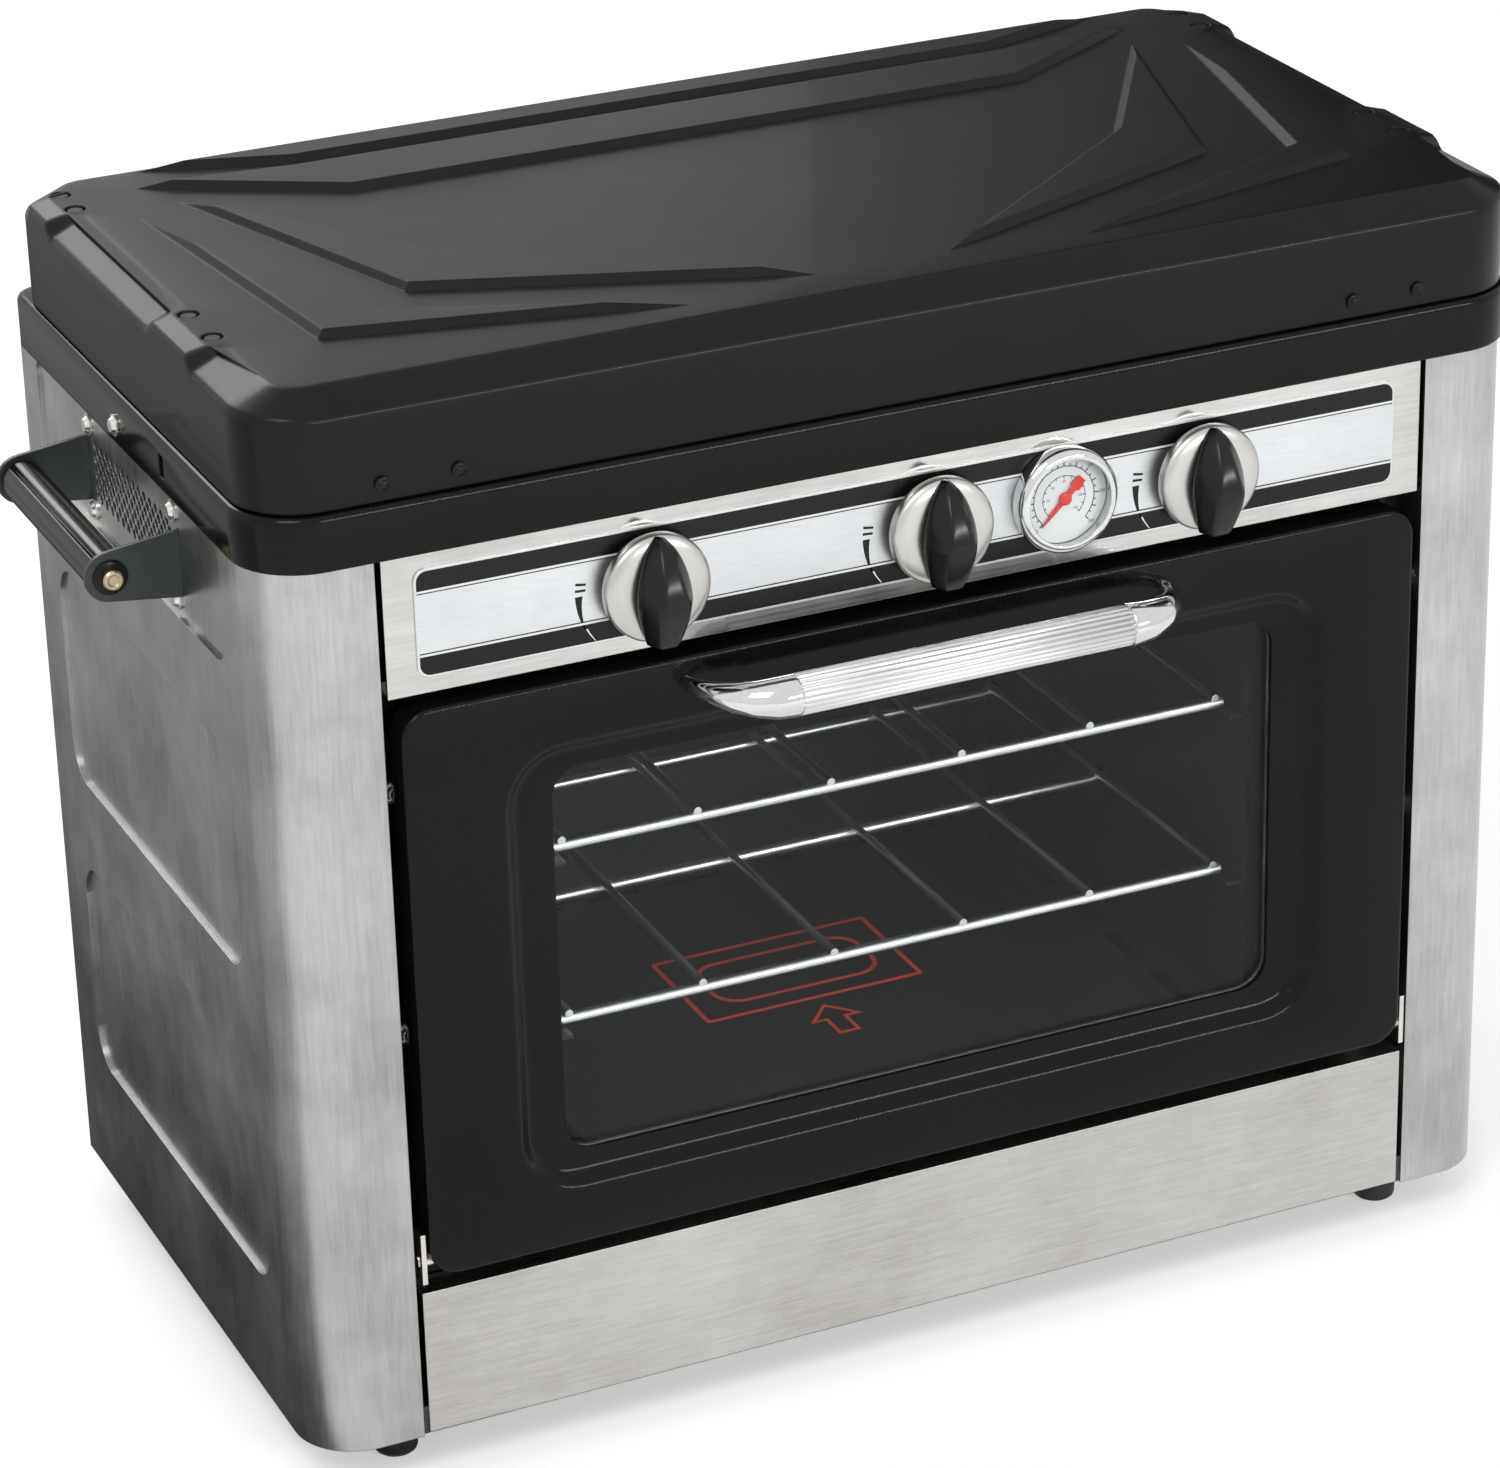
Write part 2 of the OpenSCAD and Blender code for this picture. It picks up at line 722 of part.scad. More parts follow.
module handle_screws() {
  color("#c9c9c9") for (s = [0, 1]) mirror([s, 0, 0]) for (i = [0, 1], z = screw_z)
    translate([-side_x + press_d, arm_ys[i] + arm_in[i] * screw_in, z]) screw(sheet_t + arm_flange_t + 2);
}

module panel_screws() {
  color("#c9c9c9") {
    translate([-side_x - band_proud, front_y + 155, band_z + 8.5]) screw(band_proud - 0.3);
    for (s = SIDES, z = frame_screw_z) translate([s * frame_screw_x, frame_y, z]) rotate([0, 0, 90]) screw(4);
  }
}

// Lid

bump_top = lid_top;
seat_d = 1.6;
seat_r = 4.4;
bump_w = 26;

// The raised pads that carry the screws on both ends of the lid
module bumps(y0, y1) {
  z = band_top + 12;
  for (s = SIDES) hull() {
    translate([s * (side_x - bump_w / 2) - bump_w / 2, y0, z]) cube([bump_w, y1 - y0, bump_top - 10 - z]);
    translate([s * (side_x - bump_w / 2 - 3) - bump_w / 2 + 3, y0 + 7, z]) cube([bump_w - 6, y1 - y0 - 14, bump_top - z]);
  }
}

// The outer form of the lid, drawn in by g
module lid_form(g) {
  hull() {
    translate([0, 0, lid_bottom - (g > 0 ? 1 : 0)]) linear_extrude(lid_top - lid_bottom - lid_slope_h + (g > 0 ? 1 : 0) - g / 2)
      top_plan(g, corner_r - g, $fn = 32);
    translate([-side_x + lid_slope_w + 6 + g, front_y + lid_slope_w + g, lid_top - g - 1])
      cube([case_w - 2 * lid_slope_w - 12 - 2 * g, case_d - 2 * lid_slope_w - 2 * g, 1]);
  }
}

bump_ys = [[front_y + 62, front_y + 116], [front_y + 230, front_y + 268]];

function lid_pt(x, y) = [x, front_y + y];

// The outlines of the raised wedges in the top of the lid, grown by g
module wedge_outlines(g) {
  offset(delta = g) {
    polygon([lid_pt(-218, 273), lid_pt(-157, 252), lid_pt(157, 252), lid_pt(218, 273)]);
    polygon([lid_pt(-223, 252), lid_pt(-148, 207), lid_pt(150, 207), lid_pt(223, 252), lid_pt(159, 245), lid_pt(-159, 245)]);
    for (s = SIDES) {
      polygon([lid_pt(s * 214, 230), lid_pt(s * 172, 88), lid_pt(s * 28, 32), lid_pt(s * 150, 127)]);
      polygon([lid_pt(s * 234, 221), lid_pt(s * 219, 55), lid_pt(s * 83, 24), lid_pt(s * 202, 76)]);
    }
  }
}

// The raised wedges, drawn in by g from the outside of the sheet
module wedges(g) {
  translate([0, 0, lid_top - lid_t - 1]) linear_extrude(lid_t + 1 + emboss_d - g) wedge_outlines(-g);
}

module lid_shell() {
  color("#1d1d1e") difference() {
    union() {
      lid_form(0);
      for (b = bump_ys) bumps(b[0], b[1]);
      wedges(0);
    }
    difference() {
      union() {
        lid_form(lid_t);
        wedges(lid_t);
      }
      lid_screw_places() translate([0, 0, -seat_d - lid_t]) cylinder(h = 10, r = seat_r + lid_t);
    }
    lid_screw_places() {
      translate([0, 0, -20]) cylinder(h = 30, r = screw_r + 0.1);
      translate([0, 0, -seat_d]) cylinder(h = 10, r = seat_r);
    }
    for (x = rivet_x) bar_y(x, front_y - 1, front_y + 5, rivet_z, screw_r + 0.1);
  }
}

lid_screw_in = 14;
bump_screws = [for (b = bump_ys, k = [0.27, 0.77]) b[0] + (b[1] - b[0]) * k];

module lid_screw_places() {
  for (s = SIDES, y = bump_screws) translate([s * (side_x - lid_screw_in), y, bump_top]) children();
}

module lid_screws() {
  color("#121212") lid_screw_places() translate([0, 0, -seat_d]) {
    cylinder(h = 1.2, r1 = 3.6, r2 = 3);
    translate([0, 0, -6]) cylinder(h = 6, r = screw_r);
  }
}

rivet_z = z0 + 402.5;
rivet_x = [-217, -187, 188, 217];

module lid_rivets() {
  color("#141414") for (x = rivet_x) translate([x, front_y, rivet_z]) rotate([90, 0, 0]) {
    cylinder(h = 1, r = 3);
    translate([0, 0, 1]) cylinder(h = 0.9, r1 = 2.4, r2 = 1.2);
    translate([0, 0, -3]) cylinder(h = 3, r = 1.5);
  }
}

knuckle = lid_hinge_w / 5;

// The knuckles of a hinge, every second one from the first, along X about the lid's axis
module knuckles(first, inset) {
  for (i = [first : 2 : 4])
    bar_x(-lid_hinge_w / 2 + i * knuckle + inset, -lid_hinge_w / 2 + (i + 1) * knuckle - inset,
          lid_axis_y, lid_axis_z, hinge_r);
}

// The fixed leaves stand on the rear of the band
module lid_hinge_leaves() {
  y0 = back_y + band_proud;
  color("#26262a") for (s = SIDES) translate([s * lid_hinge_x, 0, 0]) difference() {
    union() {
      knuckles(0, 0.2);
      translate([-lid_hinge_w / 2, y0, band_z + 2]) cube([lid_hinge_w, sheet_t, band_h - 7]);
      for (i = [0, 2, 4]) translate([-lid_hinge_w / 2 + i * knuckle + 0.2, y0, band_top - 6])
        cube([knuckle - 0.4, sheet_t + 1.4, 6]);
    }
    bar_x(-lid_hinge_w, lid_hinge_w, lid_axis_y, lid_axis_z, hinge_pin_r + play);
    for (x = [-20, 20]) bar_y(x, y0 - 1, y0 + 5, band_z + 10, screw_r + 0.1);
  }
}

module lid_hinge_pins() {
  color("#b5b5b5") for (s = SIDES)
    bar_x(s * lid_hinge_x - lid_hinge_w / 2 - 1.5, s * lid_hinge_x + lid_hinge_w / 2 + 1.5,
          lid_axis_y, lid_axis_z, hinge_pin_r);
}

// The moving straps lie on the rear of the lid
module lid_hinge_straps() {
  color("#26262a") for (s = SIDES) translate([s * lid_hinge_x, 0, 0]) difference() {
    union() {
      knuckles(1, 0.2);
      translate([-lid_hinge_w / 2, back_y, lid_axis_z + 9]) cube([lid_hinge_w, sheet_t, 18]);
      for (i = [1, 3]) translate([-lid_hinge_w / 2 + i * knuckle + 0.2, back_y, lid_axis_z - 0.2])
        cube([knuckle - 0.4, sheet_t, 12]);
      for (i = [1, 3]) translate([-lid_hinge_w / 2 + i * knuckle + 0.2, back_y, lid_axis_z - 0.2])
        cube([knuckle - 0.4, hinge_out, 1.4]);
    }
    bar_x(-lid_hinge_w, lid_hinge_w, lid_axis_y, lid_axis_z, hinge_pin_r + play);
  }
}

// Door

// A plate of the door with its front face depth behind the door's face
module door_layer(depth, t) {
  facing(door_y + depth, t) children();
}

module door_face(g) {
  translate([0, door_mid]) rounded(door_w - 2 * g, door_h - 2 * g, door_r - g);
}

module window_outline(g) {
  translate([0, window_z]) rounded(window_w + 2 * g, window_h + 2 * g, window_r + g);
}

module recess_outline(g) {
  translate([0, window_z]) rounded(recess_w + 2 * g, recess_h + 2 * g, window_r + 10 + g);
}

inner_t = 1.2;

module door_panel() {
  color("#0e0d0d") difference() {
    union() {
      difference() {
        door_layer(0, door_t - inner_t) door_face(0);
        door_layer(sheet_t, door_t) door_face(sheet_t);
      }
      door_layer(0, recess_d + sheet_t) recess_outline(sheet_t);
    }
    door_layer(-1, recess_d + 1) recess_outline(0);
    door_layer(-1, door_t) window_outline(0);
    for (s = SIDES)
      bar_x(s * (door_w - door_r) / 2 - door_r, s * (door_w - door_r) / 2 + door_r, hinge_y, hinge_z, door_pin_r + play);
  }
}

module door_glass() {
  color("#5a6266", 0.4) door_layer(recess_d + sheet_t, glass_t) window_outline(glass_lap);
}

retainer_depth = recess_d + sheet_t + glass_t;

module glass_retainer() {
  color("#8d8f90") door_layer(retainer_depth, door_t - inner_t - retainer_depth) difference() {
    window_outline(glass_lap + 4);
    window_outline(1);
  }
}

module door_inner_panel() {
  color("#1a1a1b") door_layer(door_t - inner_t, inner_t) difference() {
    door_face(0.6);
    window_outline(3);
  }
}

// The cast ends run from the door's face out to the ribbed grip in a tapering sweep
module door_handle_ends() {
  sweep = [
    [grip_l / 2, grip_out, grip_r],
    [grip_l / 2 + 10, grip_out - 2.5, grip_r - 0.3],
    [grip_l / 2 + 22, grip_out - 11, grip_r - 1.8],
    [grip_l / 2 + 30, 5, 4.2]
  ];
  color("#d4d6d8") for (s = SIDES) difference() {
    for (i = [0 : 2]) hull() for (k = [i, i + 1])
      translate([s * sweep[k][0], door_y - sweep[k][1], grip_z]) sphere(sweep[k][2], $fn = 24);
    translate([-grip_l / 2, grip_y - 20, grip_z - 20]) cube([grip_l, 40, 40]);
  }
}

ribs = 7;

module door_handle_grip() {
  color("#e3e4e5") translate([-grip_l / 2, grip_y, grip_z]) rotate([90, 0, 90]) linear_extrude(grip_l) {
    circle(grip_r - 0.6);
    for (a = [0 : ribs - 1]) rotate(180 + (a - (ribs - 1) / 2) * 20)
      translate([grip_r - 0.9, 0]) circle(0.9, $fn = 16);
  }
}

bracket_x = door_w / 2 + 1.2;
bracket_t = 2;

module door_hinge_brackets() {
  color("#c4c2bc") for (s = SIDES) difference() {
    translate([s * (bracket_x + bracket_t / 2) - bracket_t / 2, hinge_y - 6, hinge_z - 8])
      cube([bracket_t, frame_y - hinge_y + 6, 22]);
    bar_x(s * bracket_x - 5, s * bracket_x + 5, hinge_y, hinge_z, door_pin_r + play);
  }
}

module door_hinge_pins() {
  color("#b8b8b8") for (s = SIDES) {
    a = s * (door_w / 2 - door_r - 2);
    b = s * (bracket_x + bracket_t + 0.4);
    bar_x(min(a, b), max(a, b), hinge_y, hinge_z, door_pin_r);
    bar_x(a - 1, a + 1, hinge_y, hinge_z, door_pin_r + 0.8);
  }
}

module door_catches() {
  gap = 0.5;
  color("#6d6f72") for (s = SIDES)
    translate([s * (door_w / 2 - 26.5) - 12, door_back + gap, door_z + door_h - 16]) cube([24, frame_y - door_back - gap, 9]);
}

// Thermometer

// Something turned about the thermometer's axis, with +Z to the front from the label
module on_dial() {
  translate([dial_x, label_y, control_z + 1.5]) rotate([90, 0, 0]) children();
}

lens_r = dial_r - 3;
needle_r = 1.2;

module thermometer_case() {
  color("#cfd1d3") on_dial() rotate_extrude() polygon([
    [needle_r + play, -8], [6, -8], [6, 0], [dial_r - 0.8, 0], [dial_r, 1.2], [dial_r, 5],
    [dial_r - 2.6, 8.4], [lens_r - 1, 8.4], [lens_r - 1, 7.2], [lens_r + 0.1, 7.2], [lens_r + 0.1, 1.4],
    [needle_r + play, 1.4]
  ]);
}

module thermometer_dial() {
  color("white") on_dial() translate([0, 0, 1.4]) difference() {
    cylinder(h = 0.6, r = lens_r - 0.1);
    translate([0, 0, -1]) cylinder(h = 3, r = needle_r + 0.3);
  }
}

module thermometer_needle() {
  color("red") on_dial() {
    translate([0, 0, -5]) cylinder(h = 8.6, r = needle_r);
    translate([0, 0, 2.8]) cylinder(h = 0.8, r = 2.6);
    translate([0, 0, 2.8]) rotate(-135) linear_extrude(0.8) polygon([
      [-1.1, 0], [-0.2, 15], [0.2, 15], [1.1, 0], [1.1, -5], [2.2, -6], [0, -10], [-2.2, -6], [-1.1, -5]
    ]);
  }
}

module thermometer_lens() {
  color("#ffffff", 0.25) on_dial() translate([0, 0, 6.2]) cylinder(h = 1, r = lens_r);
}

// Knobs

module valve_stem(i) {
  x = knob_x[i];
  color("#b9b9b9") {
    bar_y(x, knob_back - knob_socket, front_y + stem_in, control_z, stem_r);
    bar_y(x, knob_back + 0.05, knob_back + 0.9, control_z, stem_r + 1);
  }
}

module valve_stem_left() { valve_stem(0); }

module valve_stem_middle() { valve_stem(1); }

module valve_stem_right() { valve_stem(2); }

// A knob disc: a shallow dished drum with a socket for the stem
module knob_disc(i) {
  color("#bfc1c2") translate([knob_x[i], knob_back, control_z]) rotate([90, 0, 0]) rotate_extrude() polygon([
    [stem_r + play, 0], [knob_r, 0], [knob_r, 3.2], [knob_r - 1.2, 5.2], [knob_r - 5, disc_t],
    [stem_r + play, disc_t]
  ]);
}

module knob_disc_left() { knob_disc(0); }

module knob_disc_middle() { knob_disc(1); }

module knob_disc_right() { knob_disc(2); }

// A knob grip: two arcs that meet in points, narrowing to the front
module knob_grip(i) {
  half = 8.5;
  arc = (knob_r * knob_r + half * half) / (2 * half);
  color("#0f0f10") translate([knob_x[i], knob_back, control_z]) rotate([90, 0, 0]) difference() {
    translate([0, 0, disc_t]) linear_extrude(knob_grip_t) intersection() {
      translate([arc - half, 0]) circle(arc, $fn = 96);
      translate([half - arc, 0]) circle(arc, $fn = 96);
      square([2 * half, 2 * knob_r - 2], center = true);
    }
    cylinder(h = knob_socket + 0.3, r = stem_r + play);
    for (s = SIDES) translate([s * half, 0, disc_t + 4]) rotate([0, s * -18, 0])
      translate([s > 0 ? 0 : -20, -30, 0]) cube([20, 60, 40]);
  }
}

module knob_grip_left() { knob_grip(0); }

module knob_grip_middle() { knob_grip(1); }

module knob_grip_right() { knob_grip(2); }

// Racks

module oven_rack(z) {
  bars = [rack_y, rack_y + rack_d / 2, rack_y + rack_d];
  color("#c9cccf") {
    for (y = bars) bar_x(-rack_w / 2, rack_w / 2, y, z, bar_r);
    for (i = [0 : rack_wires - 1])
      bar_y(-wire_span / 2 + i * wire_span / (rack_wires - 1), rack_y - 2, rack_y + rack_d + 2, z + bar_r + wire_r - 1.2, wire_r);
  }
}

module oven_rack_upper() { oven_rack(rack_levels[1]); }

module oven_rack_lower() { oven_rack(rack_levels[0]); }

side_panel_left();
side_panel_right();
back_panel();
base_pan();
kick_plate();
control_fascia();
label_plate();
face_frame();
top_band();
cooktop_deck();
rubber_feet();
oven_liner();
rack_runners();
oven_floor();
oven_burner();
oven_gas_tube();
gas_manifold();
gas_valves();
gas_inlet();
igniter_electrodes();
burner_bases();
burner_caps();
pot_grates();
handle_arms();
side_grip_left();
side_grip_right();
handle_bolts();
handle_screws();
panel_screws();
lid_hinge_leaves();
lid_hinge_pins();
lid_hinge_straps();
lid_shell();
lid_screws();
lid_rivets();
door_hinge_brackets();
door_hinge_pins();
door_catches();
door_panel();
door_inner_panel();
door_glass();
glass_retainer();
door_handle_ends();
door_handle_grip();
thermometer_case();
thermometer_dial();
thermometer_needle();
thermometer_lens();
thermometer_capillary();
valve_stem_left();
valve_stem_middle();
valve_stem_right();
knob_disc_left();
knob_disc_middle();
knob_disc_right();
knob_grip_left();
knob_grip_middle();
knob_grip_right();
oven_rack_upper();
oven_rack_lower();
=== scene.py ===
"""Looks of the folding camp oven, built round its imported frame."""

from __future__ import annotations

import logging
import math
from collections.abc import Callable, Sequence
from dataclasses import dataclass, field, replace
from enum import Enum

import bpy
from mathutils import Matrix, Vector
from mathutils.geometry import delaunay_2d_cdt

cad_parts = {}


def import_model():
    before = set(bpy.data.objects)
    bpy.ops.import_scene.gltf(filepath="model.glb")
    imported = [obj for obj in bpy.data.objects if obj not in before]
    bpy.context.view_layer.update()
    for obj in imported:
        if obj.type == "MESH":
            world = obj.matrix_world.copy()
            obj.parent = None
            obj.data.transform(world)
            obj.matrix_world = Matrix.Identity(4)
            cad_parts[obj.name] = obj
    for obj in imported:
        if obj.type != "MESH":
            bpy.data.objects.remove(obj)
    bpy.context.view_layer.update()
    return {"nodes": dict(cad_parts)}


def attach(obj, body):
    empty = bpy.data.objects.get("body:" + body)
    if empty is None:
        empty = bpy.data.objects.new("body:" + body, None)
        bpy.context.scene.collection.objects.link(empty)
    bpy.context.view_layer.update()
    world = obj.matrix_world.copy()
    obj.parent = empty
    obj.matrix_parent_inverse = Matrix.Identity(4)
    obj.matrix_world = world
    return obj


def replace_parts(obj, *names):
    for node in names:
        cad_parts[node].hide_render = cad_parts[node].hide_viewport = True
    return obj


LOG = logging.getLogger("camp_oven")
MM = 0.001

Colour = tuple[float, float, float]
Point = tuple[float, float, float]
Flat = tuple[float, float]
Piece = bpy.types.Object
ByPlace = Callable[[float, float], float]

FRONT_Y = -127.75
REAR_Y = 158.25
CABINET_Z = 19.0
HALF_W = 266.5

# Places that several pieces share, in millimetres.
CONTROL_Z = CABINET_Z + 344.0
KNOB_XS: dict[str, float] = {"left": -113.5, "middle": 5.0, "right": 121.0}
PANEL_Y = FRONT_Y - 0.8
DIAL: Flat = (59.3, CABINET_Z + 345.5)
GRIP_X = 293.0
GRIP_Z = CABINET_Z + 345.0
GRIP_MID_Y = 24.75


class Body(str, Enum):
    """The moving bodies that new pieces ride on."""

    CABINET = "cabinet"
    LID = "lid"
    DOOR = "door"


class Grain(Enum):
    """How the fine texture of a finish is laid out."""

    FINE = "fine"
    SPANGLE = "spangle"


class Tree:
    """A node tree with a short way to add nodes and fill their inputs."""

    def __init__(self, graph: bpy.types.NodeTree) -> None:
        """Keeps the tree that nodes are added to."""
        self.graph = graph

    @classmethod
    def of_material(cls, name: str) -> tuple[bpy.types.Material, Tree, bpy.types.Node]:
        """Makes a material and returns it with its tree and its surface shader."""
        made = bpy.data.materials.new(name)
        made.use_nodes = True
        return made, cls(made.node_tree), made.node_tree.nodes["Principled BSDF"]

    def fill(self, node: bpy.types.Node, values: dict[str | int, object]) -> None:
        """Sets or links a node's inputs.

        Args:
            node: The node.
            values: A value, or an output to link, for each input's name or number.
        """
        for name, value in values.items():
            if isinstance(value, bpy.types.NodeSocket):
                self.graph.links.new(value, node.inputs[name])
            else:
                node.inputs[name].default_value = value

    def add(self, kind: str, values: dict[str | int, object] | None = None) -> bpy.types.Node:
        """Adds a node.

        Args:
            kind: Its type, without the words ShaderNode.
            values: What fill puts on its inputs.

        Returns:
            The new node.
        """
        node = self.graph.nodes.new(f"ShaderNode{kind}")
        self.fill(node, values or {})
        return node


@dataclass(frozen=True)
class Finish:
    """One finish of the oven and the nodes that make it.

    Attributes:
        slot: The record's material slot.
        light: Colour of the brighter parts.
        dark: Colour of the darker parts.
        metallic: 1 for bare metal.
        rough: Lowest and highest roughness.
        grain: Layout of the fine texture.
        stretch: Scale of the fine texture along X, Y and Z, per metre.
        cloud: Scale of the slow blotches, per metre.
        cloud_share: Share of the blotches in the colour mix.
        bump: Strength of the surface relief.
        depth: Height of the relief in metres.
        edge: Radius of the softened edges in metres.
        specular: Level of the surface reflection.
        coat: Weight of a clear coat.
    """

    slot: str
    light: Colour
    dark: Colour
    metallic: float = 0.0
    rough: tuple[float, float] = (0.3, 0.45)
    grain: Grain = Grain.FINE
    stretch: Point = (900.0, 900.0, 900.0)
    cloud: float = 14.0
    cloud_share: float = 0.6
    bump: float = 0.15
    depth: float = 0.00008
    edge: float = 0.0005
    specular: float = 0.5
    coat: float = 0.0

    def build(self) -> bpy.types.Material:
        """Makes the material.

        Returns:
            The node material, named after the slot.
        """
        made, tree, shader = Tree.of_material(f"{self.slot}_look")
        place = tree.add("TexCoord").outputs["Object"]
        scaled = tree.add("Mapping", {"Scale": self.stretch, "Vector": place}).outputs["Vector"]
        if self.grain is Grain.SPANGLE:
            fine = tree.add("TexVoronoi", {"Scale": 1.0, "Vector": scaled}).outputs["Color"]
        else:
            fine = tree.add("TexNoise", {"Scale": 1.0, "Detail": 4.0, "Vector": scaled}).outputs["Fac"]
        slow = tree.add("TexNoise", {"Scale": self.cloud, "Detail": 5.0, "Roughness": 0.62, "Vector": place})
        blend = tree.add("Mix", {"Factor": self.cloud_share, "A": fine, "B": slow.outputs["Fac"]}).outputs["Result"]
        ramp = tree.add("ValToRGB", {"Fac": blend})
        for stop, position, colour in zip(ramp.color_ramp.elements, (0.3, 0.7), (self.dark, self.light)):
            stop.position, stop.color = position, (*colour, 1.0)
        spread = tree.add("MapRange", {"From Min": 0.25, "From Max": 0.75, "To Min": self.rough[0],
                                       "To Max": self.rough[1], "Value": blend})
        soft = tree.add("Bevel", {"Radius": self.edge})
        soft.samples = 4
        relief = tree.add("Bump", {"Strength": self.bump, "Distance": self.depth, "Height": fine,
                                   "Normal": soft.outputs["Normal"]})
        tree.fill(shader, {
            "Base Color": ramp.outputs["Color"],
            "Roughness": spread.outputs["Result"],
            "Normal": relief.outputs["Normal"],
            "Metallic": self.metallic,
            "Specular IOR Level": self.specular,
            "Coat Weight": self.coat,
            "Coat Roughness": 0.06,
        })
        return made


@dataclass(frozen=True)
class Pane(Finish):
    """Clear glass that lets the lamps light what is behind it.

    Attributes:
        ior: How strongly it bends and reflects light, low as for coated glass.
        smear: Scale of the faint haze, per metre.
    """

    ior: float = 1.22
    smear: float = 40.0

    def build(self) -> bpy.types.Material:
        """Makes the glass material.

        Returns:
            The node material.
        """
        made, tree, shader = Tree.of_material(f"{self.slot}_look")
        haze = tree.add("TexNoise", {"Scale": self.smear, "Vector": tree.add("TexCoord").outputs["Object"]})
        spread = tree.add("MapRange", {"To Min": self.rough[0], "To Max": self.rough[1],
                                       "Value": haze.outputs["Fac"]})
        tree.fill(shader, {
            "Base Color": (*self.light, 1.0),
            "Transmission Weight": 1.0,
            "Roughness": spread.outputs["Result"],
            "IOR": self.ior,
            "Specular IOR Level": self.specular,
        })
        clear = tree.add("BsdfTransparent", {"Color": (*self.dark, 1.0)})
        shadow = tree.add("LightPath").outputs["Is Shadow Ray"]
        mix = tree.add("MixShader", {"Fac": shadow, 1: shader.outputs["BSDF"], 2: clear.outputs["BSDF"]})
        tree.fill(made.node_tree.nodes["Material Output"], {"Surface": mix.outputs["Shader"]})
        return made


